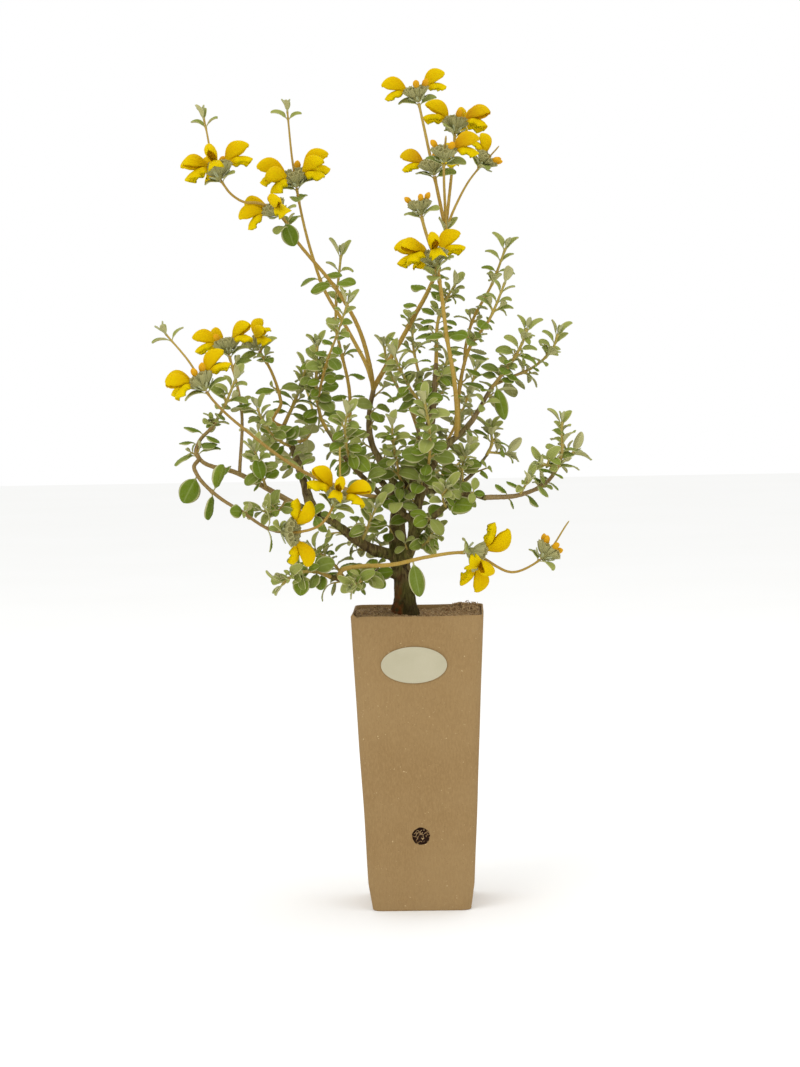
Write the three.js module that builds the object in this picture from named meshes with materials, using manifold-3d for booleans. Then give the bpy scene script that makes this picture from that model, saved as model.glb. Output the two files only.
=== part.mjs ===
// Potted Phlomis lanata: a small woody shrub with woolly leaves and whorls of hooded yellow flowers,
// growing in a tall tapered cardboard pot. Millimetres, +Z up, origin at the centre of the pot's underside.
import * as THREE from "three";
import { mergeVertices } from "three/addons/utils/BufferGeometryUtils.js";
import Module from "manifold-3d";

const wasm = await Module();
wasm.setup();
const V = (x, y, z) => new THREE.Vector3(x, y, z);
const RAD = Math.PI / 180;

// Driving dimensions
const POT = { height: 200, top: 89, base: 70, wall: 1.4, corner: 6, tuckHeight: 18, tuck: 1.8 };
const DRAIN = { radius: 6, across: 0.2, up: 51 };
const LABEL = { width: 44, height: 24.5, across: -2.4, up: 167, thick: 0.5 };
const SOIL = { top: 196 };
const GAP = 0.3;
const FINE = 0.1;
const STRAIGHT = { wood: 1, stem: 1.4 };
const LEAF = { young: 14, old: 17, slim: 0.4, broad: 0.68, turn: 32 };
const LIP = { length: 17.5, width: 9, lift: 5, bend: 75, crest: 0.72, half: 0.5 };

// The front view that the stems are laid out in: 800 x 1067 pixels, seen from 2 m away and a little above.
// A waypoint is [pixels across, pixels down, mm behind the pot's middle].
const VIEW = { distance: 2000, azimuth: 1.5, pitch: 3.8, roll: 1.0, focal: 2950, across: -11.3, up: 252 };
const VIEW_CENTRE = [400, 533.5];
const RIGHT = V(Math.cos(VIEW.azimuth * RAD), Math.sin(VIEW.azimuth * RAD), 0);
const AWAY = V(-Math.sin(VIEW.azimuth * RAD), Math.cos(VIEW.azimuth * RAD), 0);
const UP = V(0, 0, 1);

function seen([across, down, depth]) {
  const pitch = VIEW.pitch * RAD;
  const roll = VIEW.roll * RAD;
  const forward = AWAY.clone().multiplyScalar(Math.cos(pitch)).addScaledVector(UP, -Math.sin(pitch));
  const above = UP.clone().multiplyScalar(Math.cos(pitch)).addScaledVector(AWAY, Math.sin(pitch));
  const eye = RIGHT.clone().multiplyScalar(VIEW.across).addScaledVector(UP, VIEW.up);
  eye.addScaledVector(forward, -VIEW.distance);
  const a = (across - VIEW_CENTRE[0]) / VIEW.focal;
  const b = (VIEW_CENTRE[1] - down) / VIEW.focal;
  const ray = forward.clone().addScaledVector(RIGHT, a * Math.cos(roll) + b * Math.sin(roll));
  ray.addScaledVector(above, b * Math.cos(roll) - a * Math.sin(roll));
  return eye.addScaledVector(ray, (depth - eye.dot(AWAY)) / ray.dot(AWAY));
}

// Woody limbs: [parent, radius at the foot, radius at the tip, waypoints]
const WOOD = {
  trunk: [null, 8.2, 1.5, [[405, 632, 0], [405, 606, 0], [404, 586, 0], [400, 560, 2], [398, 535, 5],
    [398, 510, 8],
    [403, 492, 10], [411, 476, 10], [420, 460, 8], [426, 444, 6], [430, 424, 4], [433, 404, 2],
    [435, 384, 0],
    [436, 364, -2]]],
  limb_right: ["trunk", 4.4, 1.3, [[405, 566, 0], [412, 542, -8], [414, 519, -13], [421, 497, -13],
    [427, 477, -11],
    [443, 449, -7], [459, 436, -4], [472, 420, -2], [484, 400, 0], [492, 387, 0]]],
  limb_left: ["trunk", 4.3, 2.0, [[397, 557, 2], [372, 549, -12], [350, 534, -24], [329, 520, -34],
    [310, 510, -40],
    [294, 504, -43]]],
  limb_low_left: ["trunk", 3.4, 1.5, [[401, 574, 0], [385, 573, -10], [368, 575, -18], [346, 580, -25],
    [330, 577, -32]]],
  limb_left_up: ["limb_left", 3.4, 1.7, [[312, 511, -39], [304, 484, -31], [298, 462, -21],
    [290, 441, -10], [284, 425, 0]]],
  limb_inner_left: ["limb_right", 2.3, 1.2, [[413, 521, -12], [397, 510, -19], [384, 498, -21],
    [371, 485, -20],
    [355, 470, -15], [343, 455, -8], [333, 441, 0], [327, 430, 6]]],
  limb_inner_back: ["trunk", 2.5, 1.2, [[399, 502, 9], [380, 479, 22], [366, 463, 30], [353, 443, 37],
    [350, 424, 42]]],
  limb_mid: ["trunk", 2.8, 1.6, [[402, 494, 10], [389, 474, 12], [375, 452, 13], [369, 430, 14],
    [370, 408, 15],
    [374, 386, 17]]],
  limb_right_low: ["limb_right", 2.6, 1.8, [[411, 546, -7], [420, 529, -18], [434, 516, -26],
    [455, 502, -33],
    [470, 494, -37], [486, 498, -42]]],
  limb_right_mid: ["limb_right", 2.0, 1.1, [[423, 491, -12], [434, 490, 0], [447, 490, 8], [463, 482, 14],
    [476, 470, 18], [487, 455, 20]]],
  limb_back: ["trunk", 3.0, 1.3, [[399, 520, 7], [407, 500, 30], [416, 478, 52], [420, 452, 70],
    [418, 428, 82]]],
};

// Stems in leaf, each with its own leaves and whorls. Leaf pairs are spread from the tip down to "bare" mm
// from
// the foot. A whorl's angles run round its stem: 0 is to the right of it in the front view, 90 away, -90
// near.
const STEMS = {
  top_flowers: { on: "limb_mid", radius: 1.8, tip: 1.2, pairs: 3, bare: 6, way: [[374, 388, 17],
    [380, 375, 18],
    [390, 360, 20], [401, 341, 21], [410, 324, 21], [419, 306, 19], [433, 280, 15], [441, 255, 11],
    [446, 228, 8]],
    forks: [
      { radius: 1.3, tip: 0.8, way: [[446, 230, 8], [440, 199, 7], [434, 178, 7], [431, 160, 7],
        [426, 133, 5],
        [419, 106, 3], [415, 86, 2]], heads: [
        { at: [433, 170, 7], size: 1.0, open: [165, -60], bud: [40, -10] },
        { at: [416, 97, 3], size: 1, open: [172, 5], bud: [-60, -110] }] },
      { radius: 1.1, tip: 0.7, way: [[446, 230, 8], [445, 205, -12], [444, 180, -25], [444, 160, -30],
        [446, 136, -33]], heads: [
        { at: [444, 157, -30], size: 1.0, open: [-8], bud: [-165, -60] }] },
      { radius: 1.2, tip: 0.8, way: [[446, 230, 8], [449, 205, 16], [451, 178, 24], [454, 150, 30],
        [456, 120, 34]], heads: [
        { at: [456, 129, 33], size: 1.05, open: [178, -40, 10, 60], bud: [-90] }] },
      { radius: 1.0, tip: 0.5, way: [[446, 230, 8], [456, 205, 12], [467, 184, 12], [478, 169, 10],
        [488, 157, 9],
        [499, 146, 7]], heads: [
        { at: [483, 162, 9], size: 0.85, open: [150], bud: [-10, -60, 35] }] }] },
  centre_flowers: { on: "limb_right", radius: 1.6, tip: 1.0, pairs: 2, bare: 20, way: [[457, 438, -4],
    [457, 415, -13], [454, 379, -21], [447, 338, -28], [442, 300, -32], [438, 272, -34], [430, 247, -30],
    [422, 218, -26], [419, 200, -25]], heads: [
    { at: [437, 261, -34], size: 1.1, open: [176, -145, 4, 100, -80], bud: [45] },
    { at: [421, 210, -25], size: 0.85, open: [], bud: [-30, -85, 170, 70] }] },
  left_top_flowers: { on: "limb_mid", radius: 1.6, tip: 0.6, pairs: 2, bare: 14, way: [[373, 390, 16],
    [371, 372, 8], [363, 340, 4], [353, 316, 0], [341, 296, -4], [326, 277, -8], [309, 256, -13],
    [296, 240, -17],
    [285, 223, -20], [274, 209, -22], [258, 203, -24], [244, 202, -25], [231, 194, -25], [222, 182, -24],
    [215, 160, -22], [208, 136, -20], [203, 116, -18]], tuft: true, heads: [
    { at: [277, 212, -22], size: 1.0, open: [180, -90, 140], bud: [60] },
    { at: [219, 174, -24], size: 1.1, open: [165, 125, 8, -75, -145], bud: [60] }] },
  left_bud_flowers: { on: "limb_mid", radius: 1.5, tip: 0.6, pairs: 2, bare: 14, way: [[374, 388, 17],
    [366, 364, 26], [356, 345, 30], [345, 325, 32], [333, 306, 32], [324, 289, 31], [315, 266, 29],
    [311, 248, 28],
    [304, 215, 24], [298, 188, 20], [293, 165, 17], [289, 135, 14], [287, 108, 12]], tuft: true, heads: [
    { at: [297, 182, 19], size: 1.1, open: [172, -130, 5, -40], bud: [90] }] },
  left_flowers: { on: "limb_inner_left", radius: 1.5, tip: 0.6, pairs: 0, way: [[384, 498, -21],
    [362, 494, -44],
    [340, 487, -60], [306, 473, -74], [282, 458, -80], [258, 440, -84], [229, 414, -88], [206, 391, -90],
    [192, 366, -88], [178, 350, -84], [164, 332, -80]], tuft: true, heads: [
    { at: [203, 386, -90], size: 1.05, open: [165, 12, -145], bud: [-90, -45] }] },
  left_inner_flowers: { on: "limb_left_up", radius: 1.3, tip: 0.8, pairs: 2, bare: 5, way: [[285, 428, -1],
    [273, 421, -6], [281, 403, -10], [277, 390, -12], [272, 373, -12], [261, 354, -12],
    [252, 340, -12]], heads: [
    { at: [255, 346, -12], size: 0.85, open: [-60, 20], bud: [-110] }] },
  left_spray: { on: "limb_left", radius: 2.0, tip: 0.8, pairs: 4, bare: 50, way: [[296, 505, -43],
    [278, 497, -45],
    [260, 486, -48], [237, 473, -50], [215, 463, -51], [199, 458, -50], [196, 447, -48], [203, 438, -46],
    [212, 427, -46], [222, 411, -48], [230, 393, -52], [236, 378, -54]], forks: [
      { radius: 1.2, tip: 0.8, pairs: 2, bare: 8, way: [[240, 474, -50], [240, 452, -46], [242, 424, -40],
        [240, 397, -36], [234, 377, -33], [229, 361, -31], [226, 343, -30]], heads: [
        { at: [227, 350, -30], size: 0.95, open: [170, 110, -60], bud: [-120] }] },
      { radius: 1.0, tip: 0.7, pairs: 3, way: [[266, 490, -47], [262, 476, -58], [258, 462, -66],
        [254, 450, -70]] },
      { radius: 1.0, tip: 0.7, pairs: 2, way: [[286, 501, -44], [281, 509, -54], [272, 513, -64],
        [262, 511, -72]] },
      { radius: 1.4, tip: 0.6, pairs: 3, bare: 8, way: [[200, 459, -50], [194, 467, -58], [201, 480, -68],
        [216, 495, -78], [231, 505, -85], [252, 518, -92], [272, 530, -97], [290, 532, -101],
        [307, 531, -104],
        [320, 525, -106], [330, 511, -106], [337, 496, -105], [338, 472, -102], [340, 447, -98]], heads: [
        { at: [286, 533, -100], size: 1.05, open: [180, 10], bud: [] },
        { at: [335, 500, -106], size: 1.05, open: [165, -20, -130, -75], bud: [] }] }] },
  low_flowers: { on: "limb_low_left", radius: 1.7, tip: 0.5, pairs: 0, way: [[338, 579, -28],
    [344, 569, -42],
    [369, 566, -50], [396, 564, -55], [427, 557, -58], [452, 554, -60], [470, 553, -60], [486, 558, -59],
    [500, 566, -58], [515, 572, -56], [530, 566, -54], [541, 559, -52], [552, 547, -50], [562, 533, -48],
    [569, 521, -46]], heads: [
    { at: [472, 553, -60], size: 1.15, open: [180, -90, 0], bud: [-45] },
    { at: [545, 555, -52], size: 1.0, open: [], bud: [180, -130, -80, 20] }] },

  left_up_front: { on: "limb_left_up", radius: 1.1, tip: 0.7, pairs: 3, way: [[292, 446, -13],
    [280, 441, -28],
    [270, 432, -38], [262, 420, -44], [257, 407, -46]] },
  left_up_tip: { on: "limb_left_up", radius: 1.4, tip: 0.8, pairs: 3, way: [[284, 425, 0], [289, 410, 3],
    [297, 396, 5], [303, 382, 5], [306, 368, 4]] },
  left_up_back: { on: "limb_left_up", radius: 1.1, tip: 0.7, pairs: 3, way: [[300, 470, -25], [292, 463, 0],
    [279, 455, 24], [266, 446, 44], [256, 434, 58]] },
  left_deep_back: { on: "limb_left_up", radius: 1.3, tip: 0.8, pairs: 2, way: [[290, 441, -10],
    [304, 440, 20],
    [312, 428, 46], [312, 408, 64], [306, 388, 76]] },
  inner_left_fork: { on: "limb_inner_left", radius: 1.3, tip: 0.9, pairs: 4, way: [[327, 430, 6],
    [321, 418, 6],
    [318, 404, 2], [317, 385, -6], [316, 364, -14], [317, 345, -20]],
    forks: [{ radius: 1.0, tip: 0.7, pairs: 3, way: [[318, 400, 0], [322, 380, -22], [329, 354, -34],
      [338, 332, -42], [346, 313, -46], [348, 302, -47]] }] },
  inner_back_tall: { on: "limb_inner_back", radius: 1.3, tip: 0.8, pairs: 3, way: [[350, 424, 42],
    [350, 404, 46],
    [349, 387, 47], [345, 367, 48], [339, 347, 49], [336, 322, 50], [336, 297, 51], [338, 275, 52],
    [341, 254, 53]] },
  inner_back_side: { on: "limb_inner_back", radius: 1.0, tip: 0.7, pairs: 2, way: [[366, 463, 30],
    [354, 459, 52],
    [343, 450, 70], [336, 436, 82]] },
  inner_left_front: { on: "limb_inner_left", radius: 1.0, tip: 0.7, pairs: 4, way: [[355, 470, -15],
    [350, 458, -30], [346, 443, -42], [345, 427, -50], [348, 412, -54]] },
  low_left_tip: { on: "limb_low_left", radius: 1.4, tip: 0.8, pairs: 4, way: [[331, 577, -32],
    [317, 572, -40],
    [303, 572, -50], [291, 577, -58], [281, 586, -64]] },
  low_left_up: { on: "limb_low_left", radius: 1.1, tip: 0.7, pairs: 3, way: [[346, 580, -25],
    [336, 566, -12],
    [324, 556, -6], [312, 548, -4]] },
  low_left_front: { on: "limb_low_left", radius: 1.0, tip: 0.7, pairs: 3, way: [[370, 575, -17],
    [366, 578, -34],
    [360, 582, -48], [352, 586, -58]] },
  low_upright: { on: "limb_left", radius: 1.0, tip: 0.7, pairs: 3, way: [[362, 542, -18], [366, 531, -26],
    [371, 519, -32], [376, 507, -36]] },
  low_back: { on: "trunk", radius: 1.2, tip: 0.8, pairs: 3, way: [[400, 560, 2], [384, 550, 24],
    [366, 543, 44],
    [350, 537, 60], [337, 528, 70]] },
  low_right: { on: "limb_right", radius: 0.9, tip: 0.7, pairs: 3, way: [[411, 548, -6], [422, 545, -14],
    [430, 539, -20], [434, 530, -22]] },
  centre_front: { on: "trunk", radius: 1.1, tip: 0.7, pairs: 4, way: [[404, 490, 10], [399, 474, -8],
    [396, 456, -18], [393, 440, -24], [392, 424, -27]] },
  centre_left: { on: "trunk", radius: 1.1, tip: 0.8, pairs: 4, way: [[430, 424, 4], [421, 404, -4],
    [409, 387, -10], [400, 371, -12], [394, 355, -12]] },
  centre_tall: { on: "trunk", radius: 1.4, tip: 0.8, pairs: 4, way: [[436, 366, -2], [436, 344, 2],
    [440, 314, 6],
    [448, 296, 4], [456, 284, 0]] },
  centre_back: { on: "trunk", radius: 1.2, tip: 0.8, pairs: 3, way: [[432, 410, 2], [424, 388, 26],
    [417, 366, 44], [413, 344, 56], [412, 322, 62]] },
  centre_low_front: { on: "limb_right", radius: 1.0, tip: 0.7, pairs: 4, way: [[427, 478, -11],
    [429, 460, -28],
    [430, 440, -42], [428, 418, -50], [424, 400, -54]] },
  right_tall: { on: "limb_right", radius: 1.5, tip: 0.8, pairs: 4, way: [[459, 436, -4], [458, 413, 2],
    [459, 393, 6], [463, 369, 6], [469, 349, 2], [479, 336, -2], [489, 320, -6], [499, 298, -8],
    [506, 280, -8]],
    forks: [{ radius: 1.2, tip: 0.8, pairs: 3, way: [[464, 364, 6], [466, 345, 20], [472, 322, 30],
      [482, 303, 34],
      [492, 284, 36], [500, 265, 36], [506, 247, 35]] }] },
  right_upper: { on: "limb_right", radius: 1.3, tip: 0.8, pairs: 4, way: [[491, 389, 0], [497, 381, 0],
    [507, 364, -4], [515, 352, -6], [523, 341, -7], [527, 328, -7]],
    forks: [{ radius: 1.1, tip: 0.8, pairs: 3, way: [[494, 385, 0], [509, 378, 10], [529, 369, 16],
      [542, 361, 18],
      [553, 348, 18], [558, 333, 18]] }] },
  right_back: { on: "limb_right", radius: 1.1, tip: 0.8, pairs: 3, way: [[444, 448, -7], [452, 432, 22],
    [462, 412, 44], [470, 390, 60], [476, 368, 70]] },
  right_mid_tip: { on: "limb_right_mid", radius: 1.2, tip: 0.7, pairs: 3, way: [[487, 456, 20],
    [492, 443, 22],
    [490, 428, 22]],
    forks: [{ radius: 0.9, tip: 0.7, pairs: 2, way: [[488, 452, 20], [499, 452, 28], [509, 454, 33]] }] },
  right_mid_near: { on: "limb_right_mid", radius: 0.9, tip: 0.7, pairs: 3, way: [[463, 482, 14],
    [462, 468, 4],
    [466, 455, -4]] },
  right_low_near: { on: "limb_right_low", radius: 0.9, tip: 0.7, pairs: 2, way: [[446, 508, -30],
    [443, 497, -42],
    [447, 488, -50]] },
  right_low_tip: { on: "limb_right_low", radius: 1.8, tip: 0.8, pairs: 4, bare: 18, way: [[484, 498, -42],
    [510, 497, -46], [531, 491, -48], [547, 482, -48], [557, 468, -46], [561, 456, -44], [562, 443, -42],
    [562, 430, -41], [562, 421, -41]],
    forks: [{ radius: 0.9, tip: 0.7, pairs: 2, way: [[561, 459, -44], [567, 455, -36], [575, 452, -30]] },
      { radius: 0.9, tip: 0.7, pairs: 2, way: [[557, 468, -46], [549, 466, -56], [541, 463, -62]] },
      { radius: 0.9, tip: 0.7, pairs: 1, way: [[520, 495, -47], [524, 487, -56], [529, 479, -62]] }] },
  back_tall: { on: "limb_back", radius: 1.4, tip: 0.8, pairs: 2, way: [[418, 430, 81], [410, 408, 88],
    [398, 388, 92], [388, 366, 92], [384, 345, 90]],
    forks: [{ radius: 1.1, tip: 0.8, pairs: 3, way: [[414, 418, 85], [428, 400, 96], [440, 380, 100],
      [448, 358, 98]] }] },
  back_low: { on: "limb_back", radius: 1.1, tip: 0.8, pairs: 2, way: [[412, 487, 44], [426, 482, 66],
    [444, 474, 84], [460, 462, 96], [470, 446, 102]] },
};

// Draws that repeat from run to run
function drawer(seed) {
  let state = seed * 7919 + 17;
  const draw = (low, high) => {
    state = (state * 1664525 + 1013904223) % 4294967296;
    return low + (high - low) * (state / 4294967296);
  };
  draw(0, 1);
  draw(0, 1);
  return draw;
}

// The direction that points out from a stem at an angle round it
function around(axis, degrees) {
  const right = AWAY.clone().cross(axis);
  if (right.length() < 0.15) right.copy(RIGHT);
  right.addScaledVector(axis, -right.dot(axis)).normalize();
  const back = axis.clone().cross(right);
  const turn = degrees * RAD;
  return right.multiplyScalar(Math.cos(turn)).addScaledVector(back, Math.sin(turn));
}

// Leaves out the points that lie within a tolerance of the straight stretch between their neighbours
function thinned(points, tolerance) {
  const last = points.length - 1;
  const chord = new THREE.Line3(points[0], points[last]);
  let worst = 0;
  let at = 0;
  for (let i = 1; i < last; i += 1) {
    const away = chord.closestPointToPoint(points[i], true, V(0, 0, 0)).distanceTo(points[i]);
    if (away > worst) {
      worst = away;
      at = i;
    }
  }
  if (worst < tolerance) return [points[0], points[last]];
  return [...thinned(points.slice(0, at + 1), tolerance), ...thinned(points.slice(at), tolerance).slice(1)];
}

// A line through waypoints, with its running length, a radius that tapers along it, and a side direction that
// follows its bends and sets how its square section is turned
function line(points, foot, tip, tolerance, spin) {
  const curve = new THREE.CatmullRomCurve3(points, false, "catmullrom", 0.5);
  const path = thinned(curve.getPoints((points.length - 1) * 2), tolerance);
  const count = path.length - 1;
  const run = [0];
  for (let i = 1; i <= count; i += 1) run.push(run[i - 1] + path[i].distanceTo(path[i - 1]));
  const radius = run.map((at) => foot + (tip - foot) * (at / run[count]));
  const first = path[1].clone().sub(path[0]).normalize();
  let side = around(first, spin);
  const sides = path.map((point, i) => {
    const along = path[Math.min(i + 1, count)].clone().sub(path[Math.max(i - 1, 0)]).normalize();
    side = side.clone().addScaledVector(along, -side.dot(along)).normalize();
    return side;
  });
  return { path, run, radius, sides, length: run[count] };
}

// The place on a line at a distance from its foot
function placeAt(stem, distance) {
  const at = Math.min(Math.max(distance, 0), stem.length);
  let i = 1;
  while (i < stem.run.length - 1 && stem.run[i] < at) i += 1;
  const part = (at - stem.run[i - 1]) / (stem.run[i] - stem.run[i - 1]);
  const point = stem.path[i - 1].clone().lerp(stem.path[i], part);
  const along = stem.path[i].clone().sub(stem.path[i - 1]).normalize();
  const side = stem.sides[i - 1].clone().lerp(stem.sides[i], part);
  side.addScaledVector(along, -side.dot(along)).normalize();
  const radius = stem.radius[i - 1] + (stem.radius[i] - stem.radius[i - 1]) * part;
  return { point, along, side, radius };
}

function nearestOn(stem, point) {
  let best = 0;
  let shortest = Infinity;
  for (let i = 0; i <= 400; i += 1) {
    const distance = stem.length * (i / 400);
    const gap = placeAt(stem, distance).point.distanceTo(point);
    if (gap < shortest) {
      shortest = gap;
      best = distance;
    }
  }
  return best;
}

function solid(points, faces) {
  const vertProperties = new Float32Array(points.flatMap((p) => [p.x, p.y, p.z]));
  const triVerts = new Uint32Array(faces.flat());
  return new wasm.Manifold(new wasm.Mesh({ numProp: 3, vertProperties, triVerts }));
}

function solidOf(geometry) {
  const bare = geometry.clone();
  bare.deleteAttribute("normal");
  bare.deleteAttribute("uv");
  const merged = mergeVertices(bare, 1e-4);
  return new wasm.Manifold(new wasm.Mesh({ numProp: 3,
    vertProperties: new Float32Array(merged.attributes.position.array),
    triVerts: new Uint32Array(merged.index.array) }));
}

// Rings of points closed into one body by a point or a fan at each end
function skin(rings, first, last) {
  const sides = rings[0].length;
  const points = [first, ...rings.flat(), last];
  const end = points.length - 1;
  const faces = [];
  for (let k = 0; k < sides; k += 1) {
    const next = (k + 1) % sides;
    faces.push([0, 1 + next, 1 + k]);
    for (let r = 0; r < rings.length - 1; r += 1) {
      const a = 1 + r * sides;
      const b = a + sides;
      faces.push([a + k, a + next, b + next], [a + k, b + next, b + k]);
    }
    const top = 1 + (rings.length - 1) * sides;
    faces.push([end, top + k, top + next]);
  }
  return solid(points, faces);
}

// A round limb with a pointed end, made thicker all over by a clearance where it is used to cut with
function limb(stem, sides, grow) {
  const last = stem.path.length - 1;
  const along = (i) => stem.path[Math.min(i + 1, last)].clone()
    .sub(stem.path[Math.max(i - 1, 0)]).normalize();
  const rings = stem.path.map((point, i) => {
    const reach = stem.radius[i] + grow;
    const other = along(i).cross(stem.sides[i]);
    const centre = i === 0 ? point.clone().addScaledVector(along(0), -grow) : point;
    return ringAt(centre, stem.sides[i].clone().multiplyScalar(reach), other.multiplyScalar(reach), sides, 0);
  });
  const start = stem.path[0].clone().addScaledVector(along(0), -grow);
  const end = stem.path[last].clone().addScaledVector(along(last), stem.radius[last] * 1.2 + grow);
  return skin(rings, start, end);
}

function ringAt(centre, first, second, sides, turn) {
  const ring = [];
  for (let k = 0; k < sides; k += 1) {
    const angle = turn + (2 * Math.PI * k) / sides;
    ring.push(centre.clone().addScaledVector(first, Math.cos(angle))
      .addScaledVector(second, Math.sin(angle)));
  }
  return ring;
}

// Draws a four-cornered face out into a row of four corners, with its two broad sides split alike
function drawOut(points, faces, from, corners, gap = -1) {
  const to = corners.map((corner) => points.push(corner) - 1);
  for (const [i, j] of [[0, 1], [1, 2], [3, 0]]) {
    if (i !== gap) faces.push([from[i], from[j], to[j]], [from[i], to[j], to[i]]);
  }
  faces.push([from[2], from[3], to[2]], [from[3], to[3], to[2]]);
  return to;
}

function closeTo(points, faces, from, tip) {
  const end = points.push(tip) - 1;
  for (let i = 0; i < 4; i += 1) faces.push([end, from[i], from[(i + 1) % 4]]);
}

// A blade that leaves its root in a direction and bends down: its midline, and the frame at a share of
// its length
function bladeAt(blade, share) {
  const turn = blade.bend * RAD;
  const start = blade.lift * RAD;
  const angle = start - turn * share;
  const out = (Math.sin(start) - Math.sin(angle)) / turn;
  const up = (Math.cos(angle) - Math.cos(start)) / turn;
  const point = blade.root.clone().addScaledVector(blade.out, blade.length * out)
    .addScaledVector(blade.up, blade.length * up);
  const along = blade.out.clone().multiplyScalar(Math.cos(angle)).addScaledVector(blade.up, Math.sin(angle));
  const flat = blade.up.clone().cross(blade.out);
  const face = along.clone().cross(flat);
  const roll = blade.roll * RAD;
  const side = flat.clone().multiplyScalar(Math.cos(roll)).addScaledVector(face, Math.sin(roll));
  const normal = side.clone().cross(along).multiplyScalar(-1);
  return { point, along, side, normal };
}

// The four corners of a blade's section: [share of the length, share of the half width, half thickness]
function bladeRow(blade, [share, wide, half]) {
  const frame = bladeAt(blade, share);
  const reach = blade.width * 0.5 * wide;
  const corner = (across, up) => frame.point.clone().addScaledVector(frame.side, across)
    .addScaledVector(frame.normal, up);
  return [corner(-reach, -half), corner(reach, -half), corner(reach, half), corner(-reach, half)];
}

// Spheres that stand for what is already placed, kept in a grid of cells to look them up quickly
const CELL = 8;
const placed = new Map();
const cellKey = (x, y, z) => `${x},${y},${z}`;

function put(owner, kind, point, radius) {
  const key = cellKey(Math.floor(point.x / CELL), Math.floor(point.y / CELL), Math.floor(point.z / CELL));
  if (!placed.has(key)) placed.set(key, []);
  placed.get(key).push({ owner, kind, point, radius });
}

function near(point) {
  const [x, y, z] = [Math.floor(point.x / CELL), Math.floor(point.y / CELL), Math.floor(point.z / CELL)];
  const found = [];
  for (let i = -1; i <= 1; i += 1) {
    for (let j = -1; j <= 1; j += 1) {
      for (let k = -1; k <= 1; k += 1) found.push(...(placed.get(cellKey(x + i, y + j, z + k)) ?? []));
    }
  }
  return found;
}

function putLine(owner, stem, from, to) {
  for (let at = from; at <= to; at += 1.5) {
    const place = placeAt(stem, at);
    put(owner, "stem", place.point, place.radius);
  }
}

// Leaves: narrow and steep at a shoot's tip (age 0), broad and spreading lower down (age 1)
const LEAF_ROWS = [[0.4, 0.96, 0.36], [0.82, 0.76, 0.33]];
const LEAF_PROBES = [0.34, 0.5, 0.66, 0.82, 1];
const UPRIGHT = { stem: 0.7, world: 0.4 };

function leafFor(place, face, root, age, scale, draw) {
  const up = place.along.clone().multiplyScalar(UPRIGHT.stem).addScaledVector(UP, UPRIGHT.world).normalize();
  const length = (LEAF.young + (LEAF.old - LEAF.young) * age) * scale * draw(0.86, 1.14);
  return { root: place.point.clone().addScaledVector(face, root), face, up, turn: draw(-9, 9), length,
    width: length * (LEAF.slim + (LEAF.broad - LEAF.slim) * age) * draw(0.9, 1.1),
    lift: 72 - 48 * age + draw(-8, 8), bend: 36 + 14 * age + 150 * age * (1 - age) + draw(-14, 14),
    roll: LEAF.turn * face.dot(RIGHT) + draw(-14, 14) };
}

function probesOf(blade) {
  const probes = [];
  for (const share of LEAF_PROBES) {
    const frame = bladeAt(blade, share);
    const reach = share < 1 ? blade.width * 0.42 : 0;
    for (const across of reach > 0 ? [-reach, 0, reach] : [0]) {
      probes.push({ point: frame.point.clone().addScaledVector(frame.side, across), share });
    }
  }
  return probes;
}

const PROBE_RADIUS = 0.8;
const POT_CLEAR = { half: 47, top: 203.5 };
const CROWN = { deep: 118 };

function isFree(owner, probes) {
  for (const { point, share } of probes) {
    const overPot = Math.abs(point.x) < POT_CLEAR.half && Math.abs(point.y) < POT_CLEAR.half;
    if ((overPot && point.z < POT_CLEAR.top) || Math.abs(point.y) > CROWN.deep) return false;
    for (const other of near(point)) {
      const gap = other.point.distanceTo(point) - other.radius;
      if (other.owner !== owner && gap < PROBE_RADIUS + 0.45) return false;
      if (other.owner === owner && share > 0.4 && gap < PROBE_RADIUS + OWN_GAP[other.kind]) return false;
    }
  }
  return true;
}

// Turns, lifts or shortens a leaf until it is clear of everything placed before it
const OWN_GAP = { blade: 0, root: -0.3, stem: 0, floret: 0.1 };
const TURNS = [0, 16, -16, 32, -32];
const LIFTS = [0, 18, -18, -36];
const SCALES = [1, 0.85, 0.7];
const LIFT_LIMIT = 76;

function turned(leaf, turn, lift, scale) {
  const angle = (leaf.turn + turn) * RAD;
  const other = leaf.up.clone().cross(leaf.face).normalize();
  const out = leaf.face.clone().multiplyScalar(Math.cos(angle)).addScaledVector(other, Math.sin(angle));
  out.addScaledVector(leaf.up, -out.dot(leaf.up)).normalize();
  return { ...leaf, out, lift: Math.min(leaf.lift + lift, LIFT_LIMIT), length: leaf.length * scale,
    width: leaf.width * scale };
}

function settle(owner, leaf) {
  for (const scale of SCALES) {
    for (const lift of LIFTS) {
      for (const turn of TURNS) {
        const blade = turned(leaf, turn, lift, scale);
        const probes = probesOf(blade);
        if (isFree(owner, probes)) {
          for (const { point, share } of probes) {
            put(owner, share > 0.4 ? "blade" : "root", point, PROBE_RADIUS);
          }
          return blade;
        }
      }
    }
  }
  return null;
}

// A square stem: at each joint two opposite faces are drawn out into leaves
const JOINT = { half: 0.85, clear: 1.5, tip: 2.6 };

function facesOf(place) {
  const other = place.along.clone().cross(place.side);
  return [place.side, other, place.side.clone().negate(), other.clone().negate()];
}

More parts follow.
